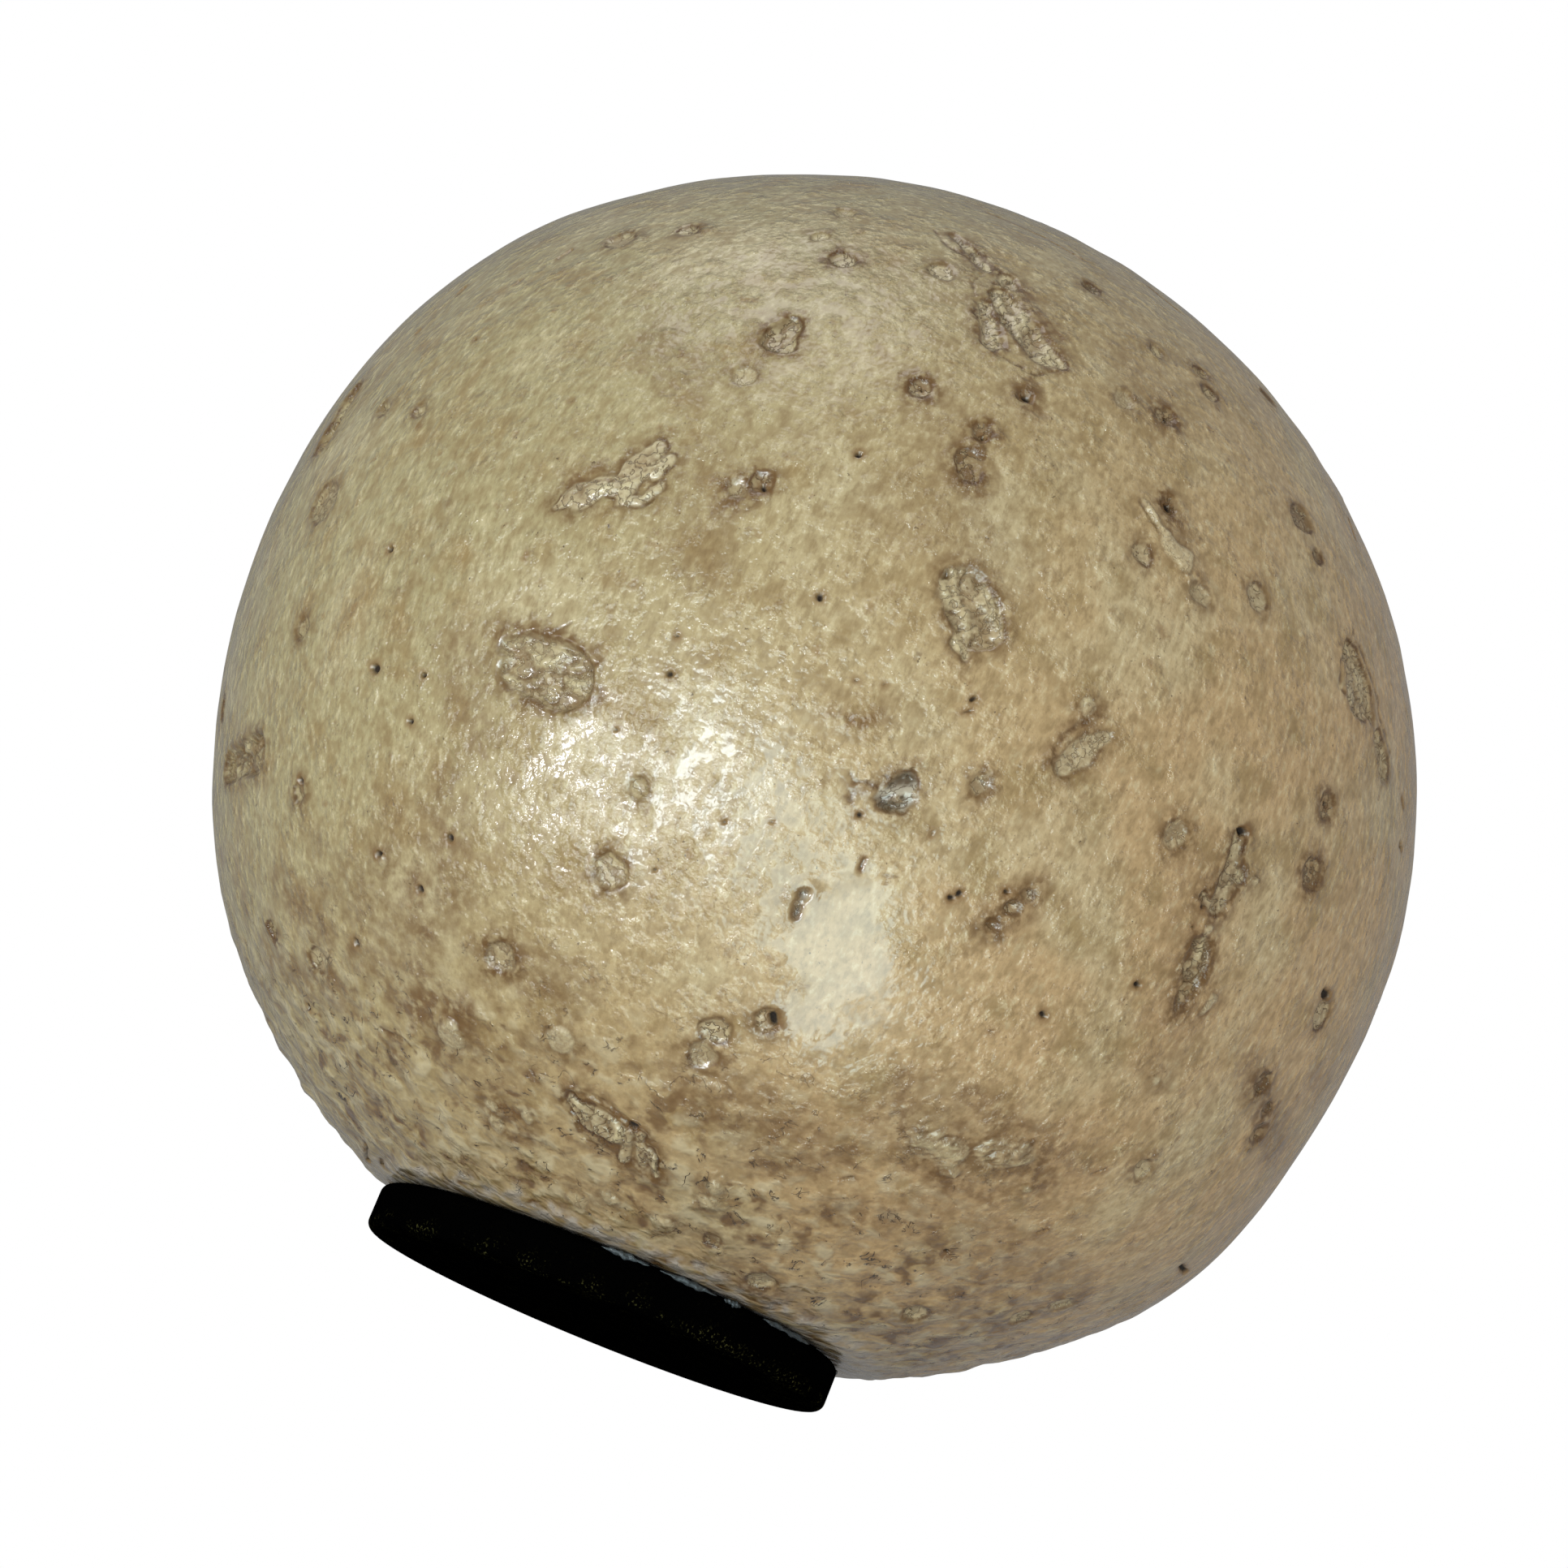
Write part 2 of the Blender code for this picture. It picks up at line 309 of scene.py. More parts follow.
# Drops of glaze that stand up from the skin, drawn pale, a few as painted glints: the same columns as for the
# bubbles
PALE_NODULES_AND_GLINTS = (
    (556, 1276, 2.6, 0.4, 0.2, 0.6),
    (690, 1280, 2.4, 0.5, 0.1, 0.5),
    (612, 1384, 1.6, 0.4, 0.3, 0.6),
    (712, 1478, 1.8, 0.3, 0.3, 0.5),
    (750, 1476, 1.6, 0.3, 0.3, 0.5),
    (816, 1506, 2.2, 0.1, 0.3, 0.4),
    (872, 1480, 1.8, 0.3, 0.3, 0.4),
    (880, 1462, 1.6, 0.3, 0.2, 0.4),
    (1545, 1084, 0.8, 0.5, 0.4, 0.6),
    (1487, 1146, 0.8, 0.6, 0.3, 0.4),
    (1227, 1424, 1.6, 0.5, 0.1, 0.3),
    (1250, 1423, 1.2, 0.5, 0.1, 0.3),
    (1154, 1398, 1.2, 0.4, 0.1, 0.3),
    (1170, 1442, 1.0, 0.4, 0.1, 0.3),
    (1264, 1465, 0.9, 0.5, 0.2, 0.3),
    (1423, 1330, 1.0, 0.9, 0.1, 0.3),
    (472, 1062, 1.0, 0.6, 0.2, 0.4),
    (560, 1262, 1.3, 0.7, 0.3, 0.6),
    (604, 1362, 1.2, 0.6, 0.3, 0.6),
    (650, 1376, 1.2, 0.6, 0.3, 0.6),
    # painted highlight: a pale drop standing for the glint in the grey pit
    (1117, 985, 0.9, 0.9, 0.0, 0.0),
)

# Pinholes and open pits: two pixels, and the half width in millimetres
HOLES = (
    (779, 1388, 781, 1389, 0.75),
    (765, 1378, 779, 1388, 0.23),
    (1264, 487, 1267, 489, 0.60),
    (1057, 560, 1059, 560, 0.55),
    (1010, 735, 1010, 737, 0.65),
    (1202, 860, 1198, 862, 0.42),
    (1187, 878, 1196, 876, 0.25),
    (1046, 884, 1048, 888, 0.14),
    (1062, 892, 1064, 890, 0.16),
    (1075, 884, 1076, 886, 0.13),
    (1059, 1004, 1060, 1005, 0.50),
    (1149, 1025, 1148, 1030, 0.23),
    (1171, 1107, 1173, 1107, 0.60),
    (1181, 1103, 1183, 1101, 0.55),
    (1240, 1099, 1241, 1100, 0.50),
    (1065, 1058, 1060, 1070, 0.16),
    (1285, 1250, 1286, 1252, 0.60),
    (438, 1160, 439, 1163, 0.65),
    (380, 1239, 381, 1242, 0.60),
    (452, 1410, 454, 1430, 0.45),
    (469, 1431, 471, 1438, 0.26),
    (1036, 1453, 1052, 1452, 0.16),
    (1278, 1518, 1290, 1514, 0.16),
    (1350, 1445, 1362, 1441, 0.16),
    (1166, 1541, 1168, 1543, 0.45),
    (1401, 1213, 1403, 1215, 0.50),
    (1632, 1224, 1636, 1228, 0.95),
    (1482, 1117, 1482, 1118, 0.50),
    (1533, 1024, 1534, 1026, 0.70),
    (1480, 1190, 1478, 1194, 0.16),
    (1470, 1142, 1471, 1143, 0.26),
    (1136, 476, 1137, 478, 0.26),
    (1212, 536, 1213, 538, 0.45),
    (1438, 514, 1439, 516, 0.50),
    (1441, 622, 1442, 625, 0.60),
    (940, 598, 941, 600, 0.45),
    (1636, 990, 1637, 992, 0.50),
    (952, 1254, 954, 1262, 0.60),
    (585, 418, 586, 418, 0.26),
    (703, 494, 704, 494, 0.26),
    (825, 830, 826, 830, 0.55),
    (759, 899, 760, 899, 0.26),
    (806, 1072, 807, 1072, 0.26),
    (892, 1013, 893, 1013, 0.26),
    (951, 1013, 952, 1013, 0.26),
    (1054, 839, 1055, 839, 0.23),
    (1089, 843, 1090, 843, 0.23),
    (834, 783, 835, 783, 0.26),
    (779, 722, 780, 722, 0.26),
    (480, 677, 481, 677, 0.45),
    (461, 823, 463, 824, 0.70),
    (521, 832, 522, 832, 0.45),
    (505, 889, 506, 889, 0.55),
    (370, 961, 371, 963, 0.60),
    (467, 1052, 468, 1053, 0.60),
    (554, 1032, 555, 1034, 0.60),
    (517, 1095, 518, 1096, 0.60),
    (1221, 1271, 1222, 1272, 0.26),
    (987, 215, 992, 215, 0.60),
    (795, 237, 800, 236, 0.60),
    (688, 318, 704, 308, 0.26),
    (635, 350, 640, 346, 0.26),
    (567, 360, 572, 355, 0.60),
    (514, 410, 518, 406, 0.26),
    (1216, 262, 1290, 294, 0.15),
    (1296, 298, 1334, 320, 0.25),
    (1416, 354, 1456, 386, 0.30),
    (1662, 640, 1670, 664, 0.40),
    (1727, 984, 1729, 994, 0.40),
    (1725, 1040, 1727, 1046, 0.50),
    (1455, 1560, 1461, 1568, 0.60),
)

# Brown blotches: two pixels, the half width in millimetres, and the strength
STAINS = (
    (560, 790, 590, 900, 4.0, 0.40),
    (724, 830, 726, 862, 1.4, 0.55),
    (634, 840, 668, 870, 0.7, 0.60),
    (1108, 1366, 1127, 1414, 1.5, 0.80),
    (1127, 1414, 1159, 1456, 1.5, 0.85),
    (1159, 1456, 1232, 1479, 1.5, 0.70),
    (1200, 1366, 1262, 1392, 2.6, 0.75),
    (1262, 1392, 1296, 1440, 2.2, 0.75),
    (545, 1010, 560, 1110, 4.0, 0.55),
    (345, 1090, 400, 1150, 3.0, 0.60),
    (330, 1180, 420, 1230, 3.0, 0.60),
    (440, 1180, 520, 1200, 3.0, 0.55),
    (1216, 1146, 1280, 1092, 1.6, 0.70),
    (1540, 1320, 1570, 1420, 3.0, 0.70),
    (430, 1090, 520, 1160, 5.0, 0.45),
    (600, 1170, 700, 1215, 4.5, 0.45),
    (812, 420, 850, 470, 4.0, 0.45),
    (880, 560, 862, 690, 5.0, 0.35),
    (1140, 480, 1196, 620, 4.0, 0.35),
    (1480, 1080, 1440, 1300, 5.5, 0.30),
    (1110, 1380, 1290, 1440, 8.0, 0.40),
    (1150, 1500, 1300, 1590, 7.0, 0.40),
    (1390, 440, 1430, 520, 4.5, 0.35),
    (650, 1300, 600, 1340, 4.0, 0.35),
    (860, 1330, 1000, 1420, 6.0, 0.50),
    (850, 1350, 870, 1372, 2.6, 0.80),
    (618, 1366, 640, 1392, 1.8, 0.85),
    (636, 1402, 664, 1398, 1.2, 0.70),
    (522, 1240, 566, 1262, 3.0, 0.75),
    (488, 1292, 490, 1320, 1.2, 0.80),
    (560, 1290, 556, 1330, 1.2, 0.60),
    (940, 1430, 990, 1440, 2.6, 0.60),
    (1030, 1490, 1090, 1500, 3.0, 0.60),
    (900, 1560, 960, 1600, 2.6, 0.60),
    (1180, 1610, 1240, 1640, 2.6, 0.60),
    (1100, 620, 1240, 700, 6.0, 0.25),
    (480, 1010, 470, 1080, 4.0, 0.35),
    (604, 776, 676, 780, 1.3, 0.8),
    (680, 782, 728, 816, 1.1, 0.9),
    (730, 820, 738, 856, 1.0, 0.6),
    (645, 806, 648, 812, 0.7, 0.6),
    (686, 812, 706, 806, 0.8, 0.6),
    (682, 616, 710, 588, 0.7, 0.6),
    (710, 588, 756, 577, 0.7, 0.7),
    (756, 577, 794, 548, 0.7, 0.7),
    (705, 637, 740, 622, 0.6, 0.5),
    (1262, 358, 1300, 420, 1.3, 0.9),
    (1160, 330, 1210, 352, 0.7, 0.5),
    (1296, 930, 1318, 900, 1.2, 0.6),
    (1320, 898, 1352, 880, 1.2, 0.7),
    (1102, 962, 1128, 956, 1.6, 0.5),
    (515, 1090, 517, 1140, 2.0, 0.8),
    (500, 1244, 562, 1240, 2.6, 0.9),
    (400, 1085, 402, 1098, 1.8, 0.6),
    (443, 1080, 445, 1092, 1.8, 0.6),
    (380, 1130, 382, 1144, 1.4, 0.5),
    (388, 1026, 390, 1040, 1.6, 0.5),
    (538, 976, 552, 960, 1.8, 0.6),
    (480, 1276, 490, 1310, 1.6, 0.9),
    (462, 1350, 466, 1378, 1.4, 0.8),
    (846, 1364, 866, 1368, 1.8, 0.7),
    (1108, 1322, 1126, 1330, 1.8, 0.7),
    (1546, 1326, 1576, 1420, 2.6, 0.6),
    (1616, 1328, 1630, 1338, 1.8, 0.5),
    (898, 624, 934, 600, 1.4, 0.7),
    (1196, 600, 1204, 590, 1.6, 0.7),
    (1442, 634, 1452, 668, 1.2, 0.5),
    (810, 420, 836, 436, 2.4, 0.4),
    (975, 536, 985, 542, 2.0, 0.3),
    (1262, 478, 1268, 500, 1.8, 0.8),
    (604, 1162, 640, 1200, 2.6, 0.6),
    (1228, 1146, 1292, 1096, 1.4, 0.5),
    (1196, 1352, 1230, 1366, 1.6, 0.8),
    (1240, 1372, 1276, 1408, 1.8, 0.8),
    (1268, 1446, 1282, 1456, 1.8, 0.8),
    (1448, 640, 1454, 660, 0.9, 0.7),
    (750, 1412, 754, 1416, 0.9, 0.8),
    (770, 1434, 771, 1436, 1.0, 0.9),
    (789, 1438, 790, 1440, 0.9, 0.9),
    (806, 1446, 812, 1452, 0.8, 0.8),
    (704, 1340, 712, 1344, 0.9, 0.8),
    (732, 1410, 744, 1418, 0.8, 0.7),
    (690, 1290, 720, 1300, 2.0, 0.5),
    (590, 1290, 560, 1260, 2.0, 0.6),
    (556, 619, 528, 690, 0.35, 0.6),
    (528, 690, 496, 734, 0.35, 0.6),
    (1046, 968, 1084, 984, 0.50, 0.8),
    (1050, 1000, 1080, 996, 0.40, 0.6),
    (1030, 880, 1090, 886, 1.50, 0.5),
)

# Dark lines in the glaze, and a painted shadow line along the lifted flake's top edge: two pixels, the half
# width in millimetres, and the strength
SCRATCHES_AND_SHADOW_LINES = (
    (675, 784, 703, 768, 0.25, 0.5),
    (675, 784, 716, 804, 0.35, 0.7),
    (716, 804, 733, 828, 0.30, 0.7),
    (733, 828, 738, 850, 0.25, 0.5),
    (621, 842, 644, 863, 0.20, 0.5),
    (644, 863, 657, 872, 0.25, 0.6),
    (665, 863, 695, 837, 0.15, 0.5),
    (1151, 283, 1167, 303, 0.22, 0.8),
    (1167, 303, 1194, 317, 0.25, 0.8),
    (1194, 317, 1212, 336, 0.25, 0.8),
    (1212, 336, 1199, 347, 0.20, 0.7),
    (1199, 347, 1203, 416, 0.25, 0.8),
    (1203, 416, 1238, 441, 0.25, 0.8),
    (1238, 441, 1277, 462, 0.30, 0.8),
    (1277, 462, 1313, 455, 0.25, 0.7),
    (1226, 350, 1232, 400, 0.35, 0.7),
    (1232, 400, 1240, 430, 0.40, 0.8),
    (1161, 758, 1188, 816, 0.20, 0.5),
    (1168, 736, 1176, 744, 0.55, 0.9),
    (1225, 728, 1228, 738, 0.45, 0.8),
    (1233, 748, 1232, 770, 0.45, 0.9),
    (1158, 708, 1190, 699, 0.25, 0.5),
    (1128, 811, 1132, 806, 0.25, 0.6),
    (1297, 941, 1300, 924, 0.25, 0.7),
    (1300, 924, 1317, 901, 0.30, 0.9),
    (1317, 901, 1342, 888, 0.25, 0.9),
    (1297, 941, 1308, 958, 0.20, 0.5),
    (1048, 954, 1052, 963, 0.20, 0.8),
    (1052, 963, 1067, 963, 0.20, 0.8),
    (1067, 963, 1078, 971, 0.25, 0.9),
    (1078, 971, 1092, 958, 0.40, 1.0),
    (1048, 986, 1049, 978, 0.25, 0.7),
    (1122, 952, 1136, 965, 0.50, 0.7),
    (1136, 965, 1141, 979, 0.40, 0.6),
    (1066, 1058, 1060, 1072, 0.35, 0.8),
    (1088, 1078, 1105, 1081, 0.20, 0.7),
    (470, 1268, 498, 1282, 0.25, 0.9),
    (498, 1282, 512, 1298, 0.20, 0.8),
    (476, 1286, 482, 1312, 0.55, 0.6),
    (462, 1330, 470, 1338, 0.30, 0.8),
    (556, 1318, 574, 1336, 0.20, 0.6),
    (616, 1262, 634, 1274, 0.25, 0.7),
    (648, 1310, 660, 1328, 0.22, 0.6),
    # painted shadow: the dark line under the lifted flake's top edge
    (699, 1345, 728, 1348, 0.30, 0.8),
    (728, 1348, 754, 1361, 0.30, 0.8),
    (754, 1361, 780, 1387, 0.35, 0.9),
    (780, 1387, 799, 1410, 0.35, 0.7),
    (799, 1410, 812, 1437, 0.35, 0.7),
    (701, 1361, 724, 1403, 0.25, 0.7),
    (724, 1403, 750, 1418, 0.30, 0.8),
    (1512, 1065, 1491, 1099, 0.30, 0.7),
    (1537, 1032, 1531, 1065, 0.30, 0.8),
    (1531, 1065, 1534, 1084, 0.25, 0.8),
    (1534, 1084, 1510, 1118, 0.30, 0.9),
    (1477, 1156, 1460, 1183, 0.35, 0.8),
    (1460, 1183, 1454, 1210, 0.30, 0.7),
    (1492, 1163, 1495, 1187, 0.35, 0.8),
    (1495, 1187, 1479, 1213, 0.40, 0.8),
    (1479, 1213, 1454, 1256, 0.35, 0.8),
    (1669, 777, 1653, 813, 0.30, 0.6),
    (1653, 813, 1651, 846, 0.35, 0.7),
    (1651, 846, 1679, 884, 0.40, 0.8),
    (1676, 798, 1697, 858, 0.50, 0.7),
    (1698, 858, 1699, 880, 0.40, 0.8),
    (1699, 880, 1712, 925, 0.50, 0.7),
    (1404, 620, 1424, 650, 0.25, 0.5),
    (1462, 1166, 1474, 1150, 0.25, 0.6),
)

# Where the glaze has pooled and lies smooth: the same columns
POOLS = (
    (1036, 1130, 1030, 1262, 8.0, 1.0),
    (890, 880, 960, 1000, 5.0, 0.6),
    (960, 1000, 1030, 1120, 8.0, 0.75),
    (600, 440, 460, 620, 5.0, 0.5),
    (1260, 1080, 1330, 1180, 4.0, 0.5),
)

# Crumbs of glue in the seam between foot and ball: pairs of pixels
GLUE = (
    (742, 1528, 800, 1556),
    (806, 1562, 872, 1590),
    (882, 1594, 914, 1606),
    (958, 1624, 1012, 1656),
)


def unit(vectors):
    return vectors / np.linalg.norm(vectors, axis=-1, keepdims=True)


def bell(angle, width):
    """1 at angle 0, falling smoothly to nothing at about twice the width."""
    return np.exp(-((angle / width) ** 2))


def smooth_step(low, high, value):
    t = np.clip((value - low) / (high - low), 0, 1)
    return t * t * (3 - 2 * t)


def direction(azimuth, elevation):
    """The unit vector that way from the ball's centre. Azimuth 0 is the front, -Y, and 90 the right, +X."""
    a = np.radians(azimuth)
    e = np.radians(elevation)
    return np.stack([np.sin(a) * np.cos(e), -np.cos(a) * np.cos(e), np.sin(e) + 0 * a], axis=-1)


def degrees_between(n, towards):
    return np.degrees(np.arccos(np.clip(n @ towards, -1, 1)))


def ball_share(n):
    """The ball's radius that way, as a share of BALL_RADIUS: a sphere, shifted, leaning, with a shoulder
    above the foot, drawn in at the seat, sunk at the crown, and humped by the hands that made it."""
    from_foot = degrees_between(n, np.array([0, 0, -1]))
    x = n[..., 0]
    share = 1 + SIDEWAYS_SHIFT * x - 2 * LEAN * x * n[..., 2]
    share = share + (SHOULDER_RISE + SHOULDER_BIAS * x) * bell(from_foot - SHOULDER_AT, SHOULDER_WIDTH)
    share = share - PINCH_AT_SEAT * bell(from_foot - PINCH_AT, PINCH_WIDTH)
    share = share - CROWN_SINK * bell(180 - from_foot, CROWN_WIDTH)
    for azimuth, elevation, width, rise in HUMPS:
        share = share + rise * bell(degrees_between(n, direction(azimuth, elevation)), width)
    return share


# The seed of each ripple's first set of waves
WANDER_SEED = 11
SLOW_WAVES_SEED = 31
WRINKLES_SEED = 35
LUMPS_SEED = 40

SLOW_WAVES_MM = ((24, 0.16), (9, 0.07))  # each set's length and height
GLAZE_SETBACK_MM = 0.30  # the glazed surface lies this far inside the solid, to leave room for its lips


def ripple(points_mm, size_mm, seed, waves=14):
    """Smooth noise from -1 to 1: the mean of plane sine waves of about one length in random directions."""
    rng = np.random.default_rng(seed)
    directions = unit(rng.normal(size=(waves, 3)))
    lengths = size_mm * rng.uniform(0.75, 1.35, waves)
    phases = rng.uniform(0, 2 * np.pi, waves)
    total = np.zeros(points_mm.shape[:-1])
    for towards, length, phase in zip(directions, lengths, phases):
        total += np.sin(2 * np.pi * (points_mm @ towards) / length + phase)
    return np.clip(total / math.sqrt(waves), -1.6, 1.6) / 1.6


def body_radius_mm(n):
    """The radius of the glazed ball without its marks: a little inside the solid, with slow waves."""
    radius = ball_share(n) * BALL_RADIUS / MM - GLAZE_SETBACK_MM
    for seed, (length, height) in enumerate(SLOW_WAVES_MM):
        radius = radius + height * ripple(n * BALL_RADIUS / MM, length, SLOW_WAVES_SEED + seed)
    return radius


NORMAL_STEP = 0.004


def body_normal(n):
    """The direction that the ball's surface faces: across two short steps along it."""
    level = unit(np.cross([0, 0, 1], n))
    across = np.cross(n, level)
    runs = []
    for step in (level * NORMAL_STEP, across * NORMAL_STEP):
        ends = [unit(n + step), unit(n - step)]
        places = [end * body_radius_mm(end)[..., None] for end in ends]
        runs.append(places[0] - places[1])
    return unit(np.cross(*runs))


# The photographer's camera: its place, and the directions of its view's right, top and back

ROLL = math.radians(CAMERA_ROLL)
ELEVATION = math.radians(CAMERA_ELEVATION)
VIEW_BACK = np.array([0, -math.cos(ELEVATION), math.sin(ELEVATION)])
LEVEL_RIGHT = np.array([1.0, 0, 0])
LEVEL_UP = np.cross(VIEW_BACK, LEVEL_RIGHT)
VIEW_RIGHT = math.cos(ROLL) * LEVEL_RIGHT + math.sin(ROLL) * LEVEL_UP
VIEW_UP = math.cos(ROLL) * LEVEL_UP - math.sin(ROLL) * LEVEL_RIGHT
CAMERA_PLACE = BALL_CENTRE + CAMERA_DISTANCE * VIEW_BACK
RAY_STEPS = 14


def photo_rays(pixels):
    """The directions in which the camera sees these pixels of the photograph."""
    offset = (np.asarray(pixels, float) - BALL_IN_PHOTO) / FOCAL_PX
    return unit(offset[..., :1] * VIEW_RIGHT - offset[..., 1:] * VIEW_UP - VIEW_BACK)


def on_ball(pixels):
    """The directions from the ball's centre to what these pixels show. Each ray is followed to a sphere
    whose radius is corrected to the ball's own radius there, a few times over."""
    rays = photo_rays(pixels)
    start = CAMERA_PLACE - BALL_CENTRE
    along = -(rays @ start)
    nearest = start @ start - along**2
    radius = np.full(along.shape, BALL_RADIUS)
    for _ in range(RAY_STEPS):
        inside = np.maximum(radius**2 - nearest, 0)
        n = unit(start + rays * (along - np.sqrt(inside))[..., None])
        radius = body_radius_mm(n) * MM
    return n


# Marks in the glaze. A mark is made of strokes, each a line between two points of the ball with a half
# width in millimetres at either end. Its outline is where the nearest stroke ends.


def stroke(x0, y0, x1, y1, start_mm, end_mm):
    """A stroke between two pixels of the photograph."""
    ends = on_ball([(x0, y0), (x1, y1)])
    return ends[0], ends[1], start_mm, end_mm


RING_DEPTH_MM = 0.55
RING_LUMPS_MM = 0.12
NODULE_HEIGHT_MM = 0.6
NODULE_LUMPS_MM = 0.12


def mark(strokes, depth_mm, lumps_mm, tone, line, brown_halo_and_shade, grey=0.0):
    """A burst blister: how deep its floor lies and how lumpy that is, and its looks as in the tables."""
    return {
        "strokes": strokes,
        "depth_mm": depth_mm,
        "lumps_mm": lumps_mm,
        "tone": tone,
        "line": line,
        "brown_halo_and_shade": brown_halo_and_shade,
        "grey": grey,
    }


def large_marks():
    """The large marks with the outlines that the photograph shows. The solids carry the largest of them
    too, as plain ovals."""
    return [mark([stroke(*row) for row in rows], *looks) for rows, *looks in LARGE_MARKS]


def round_marks(rows, depth_mm, lumps_mm):
    """Small round marks of one depth, from a table of pixel, radius and looks."""
    made = []
    for x, y, radius, *looks in rows:
        made.append(mark([stroke(x, y, x, y, radius, radius)], depth_mm, lumps_mm, *looks))
    return made


def photo_holes():
    """The pinholes of the table, each as wide at its one end as at the other."""
    return [stroke(*row, row[-1]) for row in HOLES]


def blots(rows):
    """Strokes of one width, each with its strength."""
    return [(stroke(*row[:4], row[4], row[4]), row[5]) for row in rows]


# Marks on the sides that the photograph doesn't show

HIDDEN_BELOW = 0.12  # a place that faces the photograph's camera less than this is out of its sight
FOOT_BELOW = -0.8  # a place lower than this, as a share of the radius, is at the foot
HIDDEN_BLISTERS = 7
HIDDEN_HALF_LENGTHS_MM = (9.5, 6.2, 7.8)
HIDDEN_NARROWNESS = (0.42, 0.85, 0.64)
GOLDEN_ANGLE = math.degrees(math.pi * (3 - math.sqrt(5)))
HIDDEN_HIGHEST = 0.8  # the blisters' heights run down from this share of the radius
HIDDEN_SPAN = 1.3
HIDDEN_DEPTH_MM = 0.8
HIDDEN_LUMPS_MM = 0.3
HIDDEN_RINGS = 46
HIDDEN_HOLES = 44
HIDDEN_STAINS = 26
STAIN_SPREAD = 0.03  # how far a hidden stain's ends lie apart, as a share of the radius


def across_frame(centre, turn):
    """The directions along and across a mark whose long side is turned from level."""
    level = unit(np.cross([0, 0, 1], centre))
    along = level * math.cos(math.radians(turn)) + np.cross(centre, level) * math.sin(math.radians(turn))
    return along, np.cross(centre, along)


def hidden_large_marks(rng):
    """The back's large blisters, at the places that the solids give them, each with a lobe to one side."""
    made = []
    for i in range(HIDDEN_BLISTERS):
        azimuth = 90 + (i * GOLDEN_ANGLE) % 180
        height = HIDDEN_HIGHEST - HIDDEN_SPAN * (i + 0.5) / HIDDEN_BLISTERS
        elevation = math.degrees(math.asin(height))
        centre = direction(azimuth, elevation)
        along, across = across_frame(centre, i * GOLDEN_ANGLE)
        half_length = HIDDEN_HALF_LENGTHS_MM[i % 3]
        half_width = half_length * HIDDEN_NARROWNESS[i % 3]
        reach = (half_length - half_width) * MM / BALL_RADIUS
        spread = half_width * MM / BALL_RADIUS
        ends = [unit(centre + along * reach), unit(centre - along * reach)]
        lobe = unit(centre + along * reach * rng.uniform(-0.5, 0.5) + across * spread * 0.6)
        strokes = [
            (ends[0], ends[1], 0.7 * half_width, 0.9 * half_width),
            (centre, lobe, 0.8 * half_width, 0.5 * half_width),
        ]
        tone = rng.uniform(-0.3, 0.6)
        made.append(mark(strokes, HIDDEN_DEPTH_MM, HIDDEN_LUMPS_MM, tone, line=0.9, brown_halo_and_shade=0.7))
    return made


def is_hidden(n):
    """Whether the photograph's camera can't see that place."""
    return n @ VIEW_BACK < HIDDEN_BELOW


def hidden_places(rng, count):
    """Random directions on the sides that the photograph doesn't show, and clear of the foot."""
    tries = unit(rng.normal(size=(count * 8, 3)))
    fitting = tries[is_hidden(tries) & (tries[:, 2] > FOOT_BELOW)]
    return fitting[:count]


def hidden_rings(rng):
    """Seeded burst bubbles of the sizes and looks that the photographed side has."""
    places = hidden_places(rng, HIDDEN_RINGS)
    sizes = rng.uniform(1.2, 2.6, len(places))
    tones = rng.uniform(-0.6, 0.5, len(places))
    lines = rng.uniform(0.5, 1.0, len(places))
    return [
        mark([(n, n, size, size)], RING_DEPTH_MM, RING_LUMPS_MM, tone, line, brown_halo_and_shade=0.5)
        for n, size, tone, line in zip(places, sizes, tones, lines)
    ]


def hidden_holes(rng):
    places = hidden_places(rng, HIDDEN_HOLES)
    sizes = rng.uniform(0.35, 0.7, len(places))
    return [(n, n, size, size) for n, size in zip(places, sizes)]


def hidden_stains(rng):
    places = hidden_places(rng, HIDDEN_STAINS)
    ends = unit(places + rng.normal(size=places.shape) * STAIN_SPREAD)
    sizes = rng.uniform(1.2, 3.0, len(places))
    return [((a, b, size, size), rng.uniform(0.4, 0.9)) for a, b, size in zip(places, ends, sizes)]


# Relief and colour maps of the glaze, worked out at every corner of the mesh


def stroke_distance(points_mm, one_stroke):
    """How far each point is from a stroke's outline in millimetres, below 0 inside it."""
    start, end, start_mm, end_mm = one_stroke
    start_point = start * BALL_RADIUS / MM
    run = end * BALL_RADIUS / MM - start_point
    length = max(run @ run, 1e-9)
    t = np.clip((points_mm - start_point) @ run / length, 0, 1)
    gap = np.linalg.norm(points_mm - start_point - t[:, None] * run, axis=1)
    return gap - (start_mm + (end_mm - start_mm) * t)


FAR_MM = 6.0
OUTLINE_WANDER_MM = 0.34
WANDER_LONG_MM = 3.6
WANDER_SHORT_MM = 1.5
WALL_MM = 0.8
WALL_SHARE = 0.55
LIP_SHARE = 0.3
LIP_AT_MM = 0.45
LIP_WIDTH_MM = 0.6
GROOVE_MM = 0.22
GROOVE_WIDTH_MM = 0.5


def outline_wander(points_mm):
    """The unevenness of every outline, in millimetres."""
    long = ripple(points_mm, WANDER_LONG_MM, WANDER_SEED)
    short = ripple(points_mm, WANDER_SHORT_MM, WANDER_SEED + 1)
    return OUTLINE_WANDER_MM * (long + 0.7 * short)


